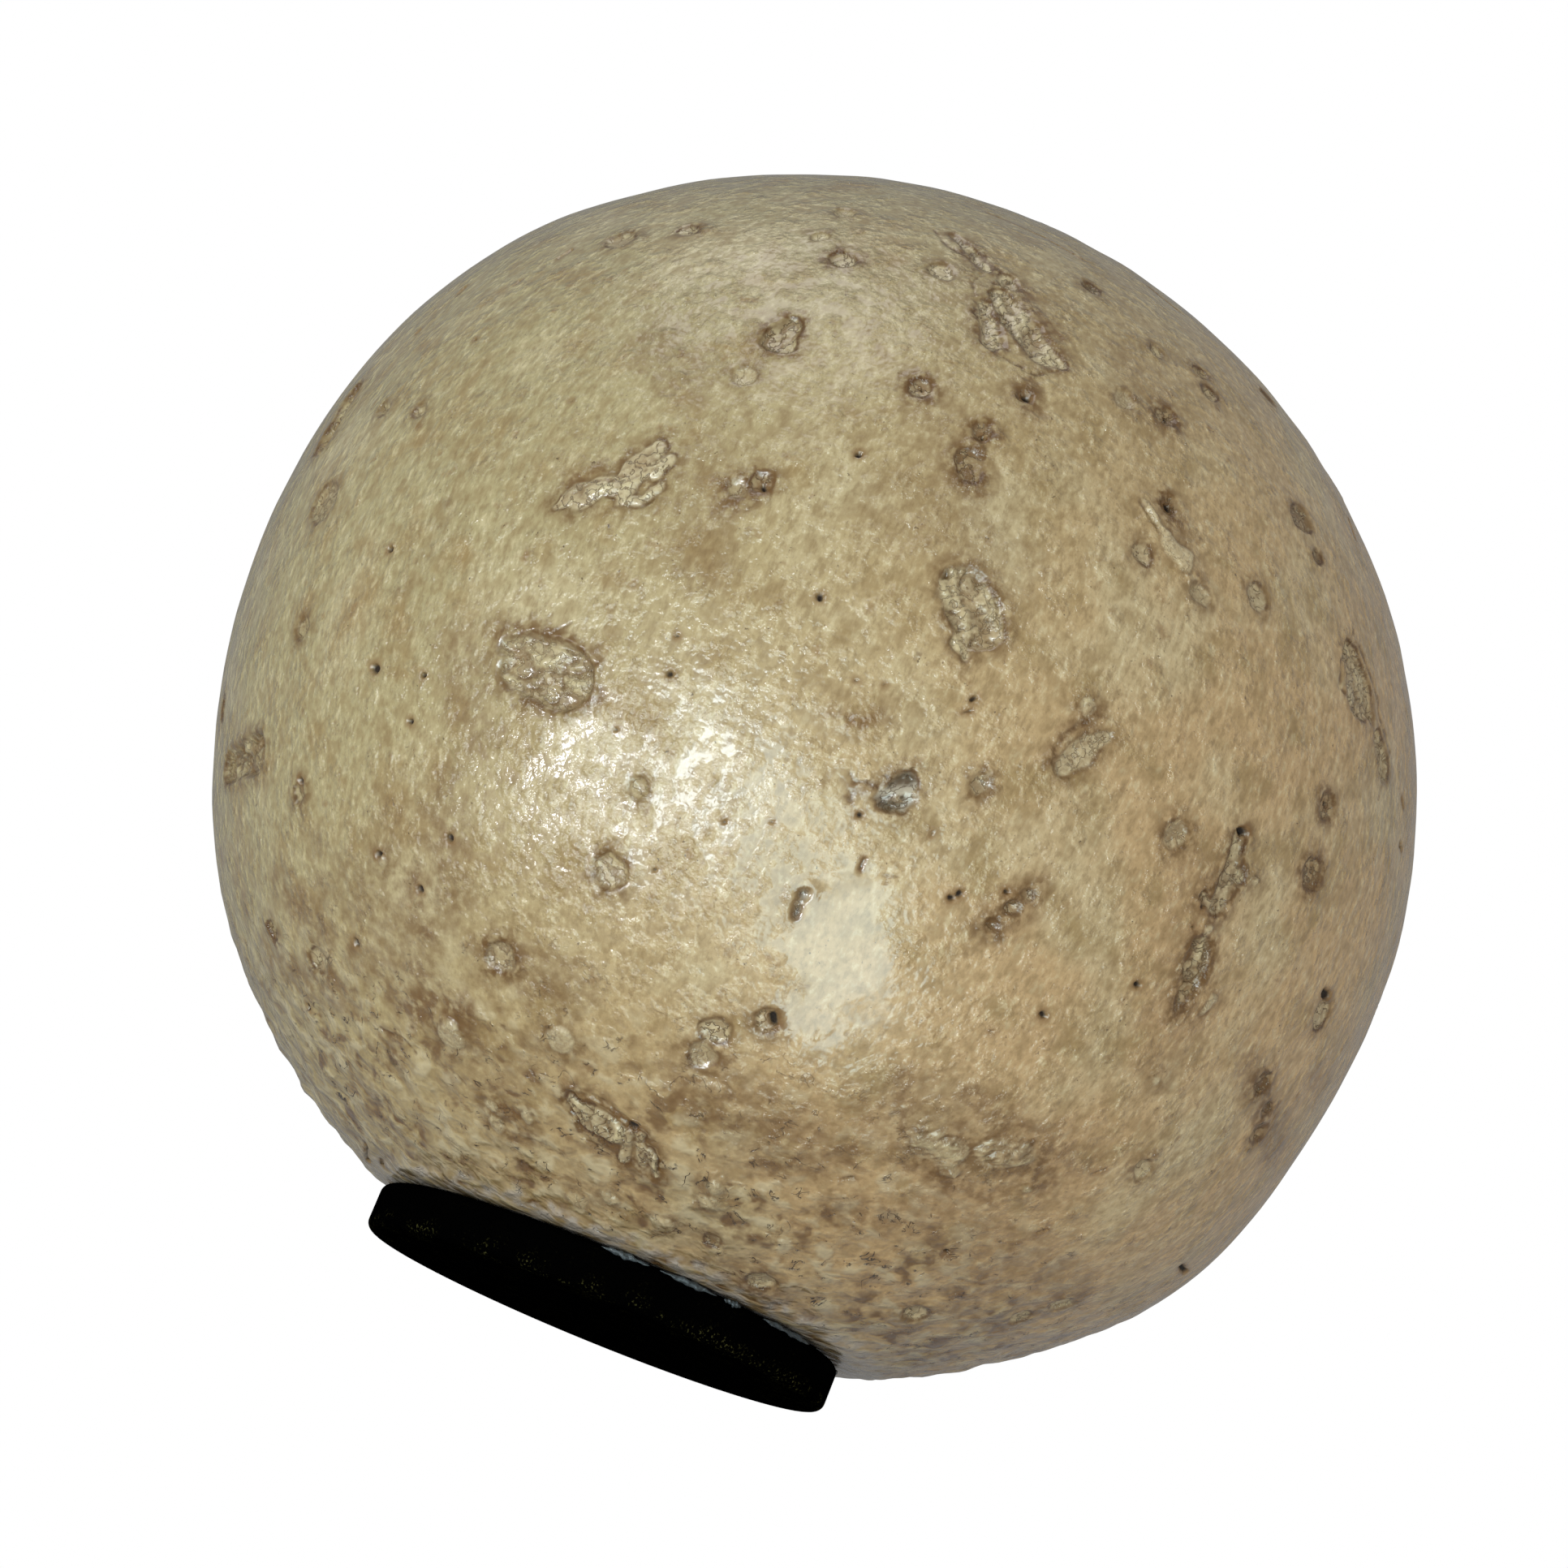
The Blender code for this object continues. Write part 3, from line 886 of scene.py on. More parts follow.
def near_stroke(points_mm, one):
    """Which points lie near enough to a stroke to be touched by it, roughly."""
    middle = unit(one[0] + one[1]) * BALL_RADIUS / MM
    half = np.linalg.norm(one[0] - one[1]) * BALL_RADIUS / MM / 2
    return np.linalg.norm(points_mm - middle, axis=1) < half + max(one[2:]) + FAR_MM


def strokes_distance(points_mm, strokes, wander):
    """How far each point is from the outline of several strokes together."""
    distance = np.full(len(points_mm), FAR_MM)
    for one in strokes:
        close = near_stroke(points_mm, one)
        near = stroke_distance(points_mm[close], one) + wander[close]
        distance[close] = np.minimum(distance[close], near)
    return distance


STRETCH = 0.62
STRETCHED_FROM_MM = 2  # the lumps in marks longer than this are drawn out along them
COARSE_LUMP_MM = 2.9
FINE_LUMP_MM = 1.5
STAIN_EDGE_MM = 3.2
SCRATCH_EDGE_MM = 0.5
SCRATCH_DEPTH_MM = 0.2
HOLE_DEPTH_MM = 0.7
ALL_SHOWN_MM = 0.4  # lumps of this height get their painted light and shade at full strength
FOOT_ZONE = (62, 36)  # where the wrinkled zone begins and is full, in degrees from straight down
ALONG_RIM = (1, 1, 1.35)
WRINKLES_MM = ((7.5, 0.30), (3.8, 0.14))  # each set's length and height


def floor_lumps(points_mm, strokes, seed):
    """Lumps from -1 to 1 and the creases between them from 0 to 1, drawn out along the longest stroke."""
    runs = [(one[1] - one[0]) * BALL_RADIUS / MM for one in strokes]
    longest = max(runs, key=lambda run: run @ run)
    length = np.linalg.norm(longest)
    if length > STRETCHED_FROM_MM:
        axis = longest / length
        points_mm = points_mm - STRETCH * (points_mm @ axis)[:, None] * axis
    coarse = ripple(points_mm, COARSE_LUMP_MM, seed)
    fine = ripple(points_mm, FINE_LUMP_MM, seed + 1)
    crease = np.maximum(bell(coarse, 0.10), 0.6 * bell(fine, 0.09))
    return 0.6 * coarse + 0.35 * fine - 0.7 * crease, crease


def blot_map(points_mm, found, wander, edge_mm):
    """The strength of the strongest blot at each point. Its edge is this soft."""
    strength = np.zeros(len(points_mm))
    for one, most in found:
        distance = strokes_distance(points_mm, [one], wander)
        strength = np.maximum(strength, most * smooth_step(-0.6 * edge_mm, 0.4 * edge_mm, -distance))
    return strength


def glaze_maps(n, marks, holes, stains, scratches_and_shadow_lines, pools):
    """Everything that varies over the glaze: the relief in millimetres, and the values that colour it."""
    points_mm = n * BALL_RADIUS / MM
    wander = outline_wander(points_mm)
    looks = ("tone", "line", "brown_halo_and_shade", "grey")
    maps = {key: np.zeros(len(n)) for key in ("relief_mm", "crease", "lump", *looks)}
    maps["outline_mm"] = np.full(len(n), FAR_MM)
    for seed, one in enumerate(marks):
        distance = strokes_distance(points_mm, one["strokes"], wander)
        close = np.flatnonzero(distance < FAR_MM - 1)
        distance = distance[close]
        wall = min(WALL_MM, WALL_SHARE * max(max(each[2:]) for each in one["strokes"]))
        inside = smooth_step(0, wall, -distance)
        lumps, crease = floor_lumps(points_mm[close], one["strokes"], LUMPS_SEED + 2 * seed)
        lip = LIP_SHARE * abs(one["depth_mm"]) * bell(distance - LIP_AT_MM, LIP_WIDTH_MM)
        groove = GROOVE_MM * one["line"] * bell(distance, GROOVE_WIDTH_MM)
        maps["relief_mm"][close] += inside * (one["lumps_mm"] * lumps - one["depth_mm"]) + lip - groove
        nearer = distance < maps["outline_mm"][close]
        chosen = close[nearer]
        maps["outline_mm"][chosen] = distance[nearer]
        # the floor's lumps and creases are kept for the material, which paints light on the lumps and shade
        # at their feet and in the creases
        shown = min(1, one["lumps_mm"] / ALL_SHOWN_MM)
        maps["crease"][chosen] = (crease * inside)[nearer] * shown
        maps["lump"][chosen] = (lumps * inside)[nearer] * shown
        for key in looks:
            maps[key][chosen] = one[key]
    hole = strokes_distance(points_mm, holes, 0.3 * wander)
    maps["hole_mm"] = hole
    maps["relief_mm"] -= HOLE_DEPTH_MM * smooth_step(-0.1, 0.35, -hole)
    maps["stain"] = blot_map(points_mm, stains, 4 * wander, STAIN_EDGE_MM)
    maps["pool"] = blot_map(points_mm, pools, 4 * wander, STAIN_EDGE_MM)
    maps["scratch_and_shadow_line"] = blot_map(points_mm, scratches_and_shadow_lines, 0.5 * wander, SCRATCH_EDGE_MM)
    maps["relief_mm"] -= SCRATCH_DEPTH_MM * maps["scratch_and_shadow_line"]
    from_foot = degrees_between(n, np.array([0, 0, -1]))
    maps["foot_zone"] = smooth_step(*FOOT_ZONE, from_foot)
    maps["warm"] = smooth_step(-0.75, 0.75, n[:, 0] - 0.35 * n[:, 2])
    maps["seam"] = smooth_step(2.6, 0.6, seat_distance_mm(n) + 2 * wander)
    return maps


def foot_wrinkles(n, foot_zone):
    """Lumps of a few millimetres round the foot, drawn out along its rim."""
    squeezed = n * BALL_RADIUS / MM * np.array(ALONG_RIM)
    height = 0
    for seed, (length, most) in enumerate(WRINKLES_MM):
        height = height + most * ripple(squeezed, length, WRINKLES_SEED + seed)
    return foot_zone * height


# The ball's mesh

GRID_CELLS = 68
REFINE_BELOW_MM = (2.0, 1.0)
REFINE_HOLES_BELOW_MM = (1.8, 1.0, 0.5)
REFINE_ZONE_BELOW = 52
RIM_BAND_MM = 1.3
RIM_ROUND_MM = 1.4


def sphere_grid(cells):
    """A unit sphere from the six sides of a cube. On each side a point is (1, tan a, tan b) with a and b
    from -45 to 45 degrees, pushed out to length 1."""
    steps = np.tan(np.linspace(-1, 1, cells + 1) * math.pi / 4)
    a, b = np.meshgrid(steps, steps, indexing="ij")
    row, column = np.meshgrid(np.arange(cells), np.arange(cells), indexing="ij")
    corner = (row * (cells + 1) + column).ravel()
    quads = np.stack([corner, corner + cells + 1, corner + cells + 2, corner + 1], axis=1)
    points = []
    triangles = []
    for axis in range(3):
        for side in (1, -1):
            flat = (a, b) if side > 0 else (b, a)
            face = np.stack([np.full_like(a, side), *flat], axis=-1).reshape(-1, 3)
            base = len(points) * len(face)
            points.append(np.roll(face, axis, axis=1))
            triangles.append(quads[:, [0, 1, 2]] + base)
            triangles.append(quads[:, [0, 2, 3]] + base)
    points = np.concatenate(points)
    rounded = np.round(points, 6)
    first, merged = np.unique(rounded, axis=0, return_index=True, return_inverse=True)[1:]
    return unit(points[first]), merged.ravel()[np.concatenate(triangles)]


def split(points, triangles, chosen):
    """Halves each edge that has a chosen corner. A triangle becomes two, three or four, by how many of its
    edges are halved, after it is turned so that those edges come first."""
    pairs = [triangles[:, corners] for corners in ([0, 1], [1, 2], [2, 0])]
    edges = np.sort(np.concatenate(pairs), axis=1)
    unique, which = np.unique(edges, axis=0, return_inverse=True)
    halved = chosen[unique].any(axis=1)
    middle = np.full(len(unique), -1)
    middle[halved] = len(points) + np.arange(halved.sum())
    new_points = unit(points[unique[halved]].sum(axis=1))
    middles = middle[which.ravel()].reshape(3, -1).T
    has = middles >= 0
    count = has.sum(axis=1)
    turn = np.where(count == 1, has.argmax(axis=1), np.where(count == 2, has.argmin(axis=1) + 1, 0))
    order = (np.arange(3) + turn[:, None]) % 3
    a, b, c = np.take_along_axis(triangles, order, axis=1).T
    ab, bc, ca = np.take_along_axis(middles, order, axis=1).T
    patterns = {
        0: [(a, b, c)],
        1: [(a, ab, c), (ab, b, c)],
        2: [(a, ab, c), (ab, bc, c), (ab, b, bc)],
        3: [(a, ab, ca), (ab, b, bc), (ca, bc, c), (ab, bc, ca)],
    }
    made = []
    for number, corners in patterns.items():
        rows = count == number
        made += [np.stack([x[rows] for x in corner], axis=1) for corner in corners]
    return np.concatenate([points, new_points]), np.concatenate(made)


def seat_distance_mm(n):
    """How much further the seat's plane is than the ball's surface, that way from the centre."""
    down = np.maximum(-n[:, 2], 0.05)
    return SEAT_BELOW_CENTRE / MM / down - ball_share(n) * BALL_RADIUS / MM


def refined_sphere(marks, holes):
    """The grid, halved twice near every mark and at the seat's rim, three times at holes and scratches, and
    once in the wrinkled zone. The seat itself stays coarse."""
    points, triangles = sphere_grid(GRID_CELLS)
    all_strokes = [one for each in marks for one in each["strokes"]]
    for level, hole_reach in enumerate(REFINE_HOLES_BELOW_MM):
        points_mm = points * BALL_RADIUS / MM
        still = np.zeros(len(points))
        chosen = strokes_distance(points_mm, holes, still) < hole_reach
        if level < len(REFINE_BELOW_MM):
            chosen |= strokes_distance(points_mm, all_strokes, still) < REFINE_BELOW_MM[level]
            chosen |= np.abs(seat_distance_mm(points)) < RIM_BAND_MM
        if level == 0:
            chosen |= degrees_between(points, np.array([0, 0, -1])) < REFINE_ZONE_BELOW
        chosen &= seat_distance_mm(points) > -RIM_BAND_MM
        points, triangles = split(points, triangles, chosen)
    return points, triangles


def smooth_minimum(a, b, width):
    """The lower of two values, with the corner between them rounded over that width."""
    h = np.clip(0.5 + 0.5 * (b - a) / width, 0, 1)
    return b + (a - b) * h - width * h * (1 - h)


def mesh_object(name, points, faces, material, attributes=None):
    mesh = bpy.data.meshes.new(name)
    mesh.from_pydata(points.tolist(), [], [list(map(int, face)) for face in faces])
    mesh.shade_smooth()
    mesh.materials.append(material)
    for key, values in (attributes or {}).items():
        attribute = mesh.attributes.new(key, "FLOAT", "POINT")
        attribute.data.foreach_set("value", values.astype(np.float32))
    made = bpy.data.objects.new(name, mesh)
    bpy.context.scene.collection.objects.link(made)
    return made


# The maps that the glaze's material reads at each corner of the mesh
COLOUR_MAPS = ("outline_mm", "hole_mm", "tone", "line", "brown_halo_and_shade", "grey", "crease", "lump")
COLOUR_MAPS += ("stain", "scratch_and_shadow_line", "pool", "foot_zone", "warm", "seam")


def glazed_ball(material):
    """The ball: its own form, with the glaze's relief pushed out from it, and cut flat at the seat."""
    rng = np.random.default_rng(RANDOM_SEED)
    marks = large_marks() + round_marks(RINGS, RING_DEPTH_MM, RING_LUMPS_MM)
    marks += round_marks(PALE_NODULES_AND_GLINTS, -NODULE_HEIGHT_MM, NODULE_LUMPS_MM)
    marks += hidden_large_marks(rng) + hidden_rings(rng)
    holes = photo_holes() + hidden_holes(rng)
    stains = blots(STAINS) + hidden_stains(rng)
    scratches_and_shadow_lines = blots(SCRATCHES_AND_SHADOW_LINES)
    n, triangles = refined_sphere(marks, holes + [line for line, most in scratches_and_shadow_lines])
    maps = glaze_maps(n, marks, holes, stains, scratches_and_shadow_lines, blots(POOLS))
    radius_mm = body_radius_mm(n) + maps["relief_mm"] + foot_wrinkles(n, maps["foot_zone"])
    to_seat_mm = SEAT_BELOW_CENTRE / MM / np.maximum(-n[:, 2], 0.05)
    radius_mm = smooth_minimum(radius_mm, to_seat_mm, RIM_ROUND_MM)
    points = BALL_CENTRE + n * radius_mm[:, None] * MM
    ball = mesh_object("glazed_ball", points, triangles, material, {key: maps[key] for key in COLOUR_MAPS})
    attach(ball, "root")
    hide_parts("ball")
    return ball


# The foot

FOOT_SIDES = 240
FOOT_ROUND = 1.4 * MM
ROUND_STEPS = 8
FACE_STEPS = 14


def foot_profile():
    """Radius and height from the middle of the underside, round both rims, to the middle of the top."""
    turn = np.linspace(0, math.pi / 2, ROUND_STEPS)
    inner = FOOT_RADIUS - FOOT_ROUND
    underside = np.linspace(0, inner, FACE_STEPS)[1:-1]
    low = np.stack([inner + FOOT_ROUND * np.sin(turn), FOOT_ROUND * (1 - np.cos(turn))], axis=1)
    high = np.stack(
        [inner + FOOT_ROUND * np.cos(turn), FOOT_THICKNESS - FOOT_ROUND * (1 - np.sin(turn))], axis=1
    )
    flat_low = np.stack([underside, np.zeros_like(underside)], axis=1)
    flat_high = np.stack([underside[::-1], np.full_like(underside, FOOT_THICKNESS)], axis=1)
    return np.concatenate([flat_low, low, high, flat_high])


def turned(profile, sides):
    """A profile of radius and height carried once round the Z axis, closed by a point at either end."""
    angles = np.arange(sides) * 2 * math.pi / sides
    ring_points = np.stack([np.cos(angles), np.sin(angles)], axis=1)
    wall = profile[:, None, :1] * ring_points[None]
    heights = np.repeat(profile[:, 1:], sides, axis=1)[..., None]
    points = np.concatenate([wall, heights], axis=2).reshape(-1, 3)
    rows = np.arange(len(profile) - 1)[:, None] * sides
    column = np.arange(sides)[None]
    after = (column + 1) % sides
    quads = np.stack([rows + column, rows + after, rows + sides + after, rows + sides + column], axis=2)
    low = len(points)
    ends = np.array([[0, 0, profile[0, 1]], [0, 0, profile[-1, 1]]])
    last = (len(profile) - 1) * sides
    low_fan = np.stack([np.full(sides, low), after[0], column[0]], axis=1)
    high_fan = np.stack([np.full(sides, low + 1), last + column[0], last + after[0]], axis=1)
    faces = quads.reshape(-1, 4).tolist() + low_fan.tolist() + high_fan.tolist()
    return np.concatenate([points, ends]), faces


def painted_foot(material):
    """The disc with its rounded rims, turned from one profile."""
    points, faces = turned(foot_profile(), FOOT_SIDES)
    foot = mesh_object("painted_foot", points, faces, material)
    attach(foot, "root")
    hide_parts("foot")
    return foot


# Glue crumbs in the seam

CRUMB_MM = 0.6
CRUMB_STEPS = 26
CRUMB_SIDES = 10
HIDDEN_CRUMBS = 9


def seam_angle(x, y):
    """The angle round the foot at which the camera sees this pixel on the level of the ball's seat."""
    ray = photo_rays([(x, y)])[0]
    place = CAMERA_PLACE + ray * (SEAT_HEIGHT - CAMERA_PLACE[2]) / ray[2]
    return math.atan2(place[1], place[0])


def crumb(start, end, seed):
    """A bead of glue along the foot's top edge. Its middle line runs round the foot from one angle to the
    other, and its radius swells from nothing and back, as a sine, with lumps along and across."""
    share = np.linspace(0, 1, CRUMB_STEPS)[:, None]
    round_it = np.linspace(0, 2 * math.pi, CRUMB_SIDES, endpoint=False)[None]
    rng = np.random.default_rng(seed)
    waves = sum(np.sin(share * k + round_it * (k % 3) + rng.uniform(0, 6)) for k in (9, 17, 31)) / 3
    radius = CRUMB_MM * MM * (0.03 + np.sin(share * math.pi) ** 0.7) * (0.7 + 0.5 * waves)
    out = FOOT_RADIUS - 0.1 * MM + radius * np.cos(round_it)
    height = np.minimum(FOOT_THICKNESS - 0.35 * MM + radius * np.sin(round_it), SEAT_HEIGHT)
    angle = start + (end - start) * share
    points = np.stack([out * np.cos(angle), out * np.sin(angle), height], axis=2).reshape(-1, 3)
    rows = np.arange(CRUMB_STEPS - 1)[:, None] * CRUMB_SIDES
    column = np.arange(CRUMB_SIDES)[None]
    after = (column + 1) % CRUMB_SIDES
    corners = [rows + column, rows + after, rows + CRUMB_SIDES + after, rows + CRUMB_SIDES + column]
    faces = np.stack(corners, axis=2).reshape(-1, 4).tolist()
    last = (CRUMB_STEPS - 1) * CRUMB_SIDES
    return points, faces + [column[0, ::-1].tolist(), (last + column[0]).tolist()]


def glue_crumbs(material):
    """The crumbs that the photograph shows in the seam, and seeded ones round the back."""
    spans = [(seam_angle(*row[:2]), seam_angle(*row[2:])) for row in GLUE]
    rng = np.random.default_rng(RANDOM_SEED)
    starts = rng.uniform(0, math.pi, HIDDEN_CRUMBS)
    spans += [(start, start + length) for start, length in zip(starts, rng.uniform(0.04, 0.2, HIDDEN_CRUMBS))]
    points = []
    faces = []
    for seed, span in enumerate(spans):
        more_points, more_faces = crumb(min(span), max(span), seed)
        base = CRUMB_STEPS * CRUMB_SIDES * seed
        points.append(more_points)
        faces += [[i + base for i in face] for face in more_faces]
    glue = mesh_object("glue_crumbs", np.concatenate(points), faces, material)
    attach(glue, "root")
    return glue


# Materials


def linear(hex_colour):
    """An sRGB hex colour as linear red, green, blue and alpha."""
    parts = [int(hex_colour[i : i + 2], 16) / 255 for i in (1, 3, 5)]
    return [c / 12.92 if c <= 0.04045 else ((c + 0.055) / 1.055) ** 2.4 for c in parts] + [1.0]


def add(tree, kind, inputs=None, out=0, **settings):
    """Adds a node with its settings, sets or links its inputs, and returns one of its outputs."""
    made = tree.nodes.new("ShaderNode" + kind)
    for name, value in settings.items():
        setattr(made, name, value)
    for name, value in (inputs or {}).items():
        if isinstance(value, bpy.types.NodeSocket):
            tree.links.new(value, made.inputs[name])
        elif isinstance(value, str):
            made.inputs[name].default_value = linear(value)
        else:
            made.inputs[name].default_value = value
    return made.outputs[out]


def new_material(name):
    material = bpy.data.materials.new(name)
    material.use_nodes = True
    tree = material.node_tree
    return material, tree, tree.nodes["Principled BSDF"]


# Settings that several nodes share, and the numbers of a colour mix's inputs
SOFT = {"interpolation_type": "SMOOTHSTEP"}
TIMES = {"operation": "MULTIPLY"}
PLUS = {"operation": "ADD"}
RGBA = {"data_type": "RGBA", "out": 2}
SHARE, UNDER, OVER = 0, 6, 7

CELLS_PER_PITCH = 1.6


def cells(pitch_mm):
    """The scale of a noise whose blobs lie this far apart on the object."""
    return CELLS_PER_PITCH / (pitch_mm * MM)


# The glaze's noises: how far apart their blobs lie in millimetres, and how much finer detail they have
NOISES = {
    "clouds": (32, 3.0),
    "blotches": (12, 4.0),
    "mottle": (4.6, 4.0),
    "smudge": (2.6, 3.0),
    "peel": (1.5, 0.6),
    "speckle": (0.9, 3.0),
}

# Three noises that are squeezed, the first down the ball and the others along the foot's rim
STREAK_MM = 1.7
LUMP_MM = 6.0
CRACK_SPREAD_MM = 8
DOWN_BALL = (1, 1, 0.45)

# Masks over the glaze, each made from a noise, a map or an earlier mask: which, two of its values, and what
# the mask is there. The first table's are stretched evenly between the two, and the second's softly.
EVEN_MASKS = {
    "calm": ("foot_zone", 0, 1, 1.0, 0.4),
    "brown_from": ("foot_zone", 0, 1, 0.61, 0.51),
    "pale_floor": ("tone", -0.2, 1, 0, 0.9),
    "dark_floor": ("tone", 0, -1, 0, 0.9),
    # painted light: the floor drawn paler on its lumps
    "painted_light_on_lumps": ("lump", 0, 0.6, 0, 0.5),
    # painted shade: the floor drawn brown at the feet of its lumps
    "painted_shade_at_lump_feet": ("lump", -0.1, -0.8, 0, 0.6),
}
SOFT_MASKS = {
    "pale": ("clouds", 0.47, 0.72, 0, 0.60),
    "ochre": ("blotches", 0.46, 0.78, 0, 0.90),
    "dark_streaks": ("streaks", 0.52, 0.32, 0, 0.48),
    "pale_streaks": ("streaks", 0.52, 0.70, 0, 0.42),
    "clouded": ("mottle", 0.50, 0.34, 0, 0.38),
    # painted shade: darker in the dips of the orange peel
    "painted_shade_in_hollows": ("peel", 0.50, 0.30, 0, 0.25),
    "waves": ("blotches", 0.36, 0.60, 0.30, 1),
    "brown": ("over", 0, 0.18, 0, 0.60),
    "dots": ("speckle", 0.34, 0.28, 0, 0.80),
    "dotted": ("mottle", 0.50, 0.62, 0.15, 1),
    # painted light: the lumps at the foot drawn pale on top
    "painted_light_on_foot_lumps": ("lumps", 0.50, 0.68, 0, 0.60),
    # painted shade: brown between the lumps at the foot
    "between": ("lumps", 0.49, 0.36, 0, 0.95),
    "patchy": ("blotches", 0.42, 0.58, 0.15, 1),
    "patches": ("mottle", 0.36, 0.62, 0, 1),
    "smudged": ("smudge", 0.34, 0.62, 0.30, 1),
    "broken": ("smudge", 0.40, 0.60, 0.25, 1),
    "ragged": ("smudge", 0.38, 0.62, 0.25, 1),
    "steep": ("mottle", 0.44, 0.68, 0.55, 2.6),
    "dents": ("streaks", 0.42, 0.48, 0, 1),
    "hairlines": ("crack_middle", 0.012, 0.003, 0, 1),
    "here_and_there": ("mottle", 0.54, 0.62, 0, 1),
    "fine_lines": ("crease_middle", 0.030, 0.006, 0, 0.70),
    "inside": ("outline_mm", 0.1, -0.6, 0, 1),
    # brown halo round the marks, partly stain and partly painted shade
    "around": ("outline_mm", 3.2, 0, 0, 1.1),
    "outlined": ("outline_middle", 0.55, 0, 0, 1),
    "comes_and_goes": ("mottle", 0.42, 0.58, 0.35, 1),
    "dark_grains": ("speckle", 0.50, 0.34, 0, 0.25),
    "pale_grains": ("speckle", 0.54, 0.68, 0, 0.25),
    # the bare stone's grey, darker low and paler on the lumps: painted shade and light
    "stone": ("lump", -0.5, 0.4, 0, 1),
    "hole_edge": ("hole_mm", 1.1, 0, 0, 0.55),
    # painted shade: the dark inside of the open pinholes
    "open": ("hole_mm", 0.05, -0.42, 0, 1),
}

# Products of masks that are used more than once, or not as a layer's strength alone
PRODUCTS = {
    "rough": ("steep", "waves", "calm"),
    "cracks": ("hairlines", "here_and_there"),
    "creases": ("fine_lines", "inside", "line"),
    "dented": ("dents", "patches"),
    "greyed": ("grey", "inside"),
}

# Layers of colour, each over the one before: the colour, and the masks whose product says how strong it is.
# The first table's lie on the whole body, the second's in and round the marks, and the third's on edges.
BODY_LAYERS = (
    ("#c6b88f", "pale"),
    ("#9d8452", "ochre"),
    ("#80683e", "dark_streaks", "calm"),
    ("#dfd3a9", "pale_streaks", "calm"),
    ("#8a7044", "clouded"),
    # painted shade in the dips of the orange peel
    ("#7f663a", "painted_shade_in_hollows", "waves"),
    ("#83602f", "brown"),
    ("#4b3719", "dots", "dotted"),
    # painted light on the lumps at the foot, and painted shade in patches between them
    ("#d2c6a2", "painted_light_on_foot_lumps", "foot_zone"),
    ("#6f4f28", "between", "patchy", "foot_zone"),
    ("#3c2a16", "cracks", "foot_zone"),
    ("#beb4a6", "seam", "patches"),
    ("#6f4e24", "smudged", "stain"),
    # dark lines in the glaze, and the painted shadow line along the lifted flake
    ("#5a3a10", "broken", "scratch_and_shadow_line"),
)
FLOOR_LAYERS = (
    # brown halo round the marks: partly stain, partly painted shade
    ("#6c4c1c", "around", "brown_halo_and_shade", "ragged"),
    ("#cfc19a", "pale_floor", "inside"),
    ("#5d4626", "dark_floor", "inside"),
    # painted light on the floor's lumps, and painted shade at their feet
    ("#d8cc9e", "painted_light_on_lumps"),
    ("#7a5624", "painted_shade_at_lump_feet"),
    ("#7a5624", "dark_grains", "inside"),
    ("#e0d6ae", "pale_grains", "inside"),
)
EDGE_LAYERS = (
    # painted shade: brown in the creases of the floors and along the fine creases
    ("#65491f", "painted_shade_in_creases"),
    ("#5c3c10", "outlined", "line", "comes_and_goes"),
    ("#7a5524", "hole_edge"),
    # painted shade inside the open pinholes
    ("#2a1c0e", "open"),
)
GREY_SHARE = 0.85  # how much of the glaze's colour the bare stone hides
CREASE_SHADE_SHARE = 0.55  # how dark the painted shade is in the creases that the mesh has

# Heights and depths of the skin's finest relief
SOFT_PEEL_MM = 0.15
SHARP_PEEL_MM = 0.30
SPECKLE_HEIGHT_MM = 0.10
DENT_DEPTH_MM = 0.14
LUMP_HEIGHT_MM = 0.95
CRACK_DEPTH_MM = 0.3
CREASE_DEPTH_MM = 0.25
FLOOR_SMOOTHNESS = 0.45  # the share of the peel that is missing on the floors of marks
POOL_PEEL = 0.03  # the share of the peel that is left where the glaze has pooled


def add_masks(tree, grain, masks, evenness):
    """Adds the masks of a table to the others, each stretched from what its row names."""
    for name, (source, start, end, least, most) in masks.items():
        ends = {"From Min": start, "From Max": end, "To Min": least, "To Max": most}
        grain[name] = add(tree, "MapRange", {"Value": grain[source], **ends}, **evenness)


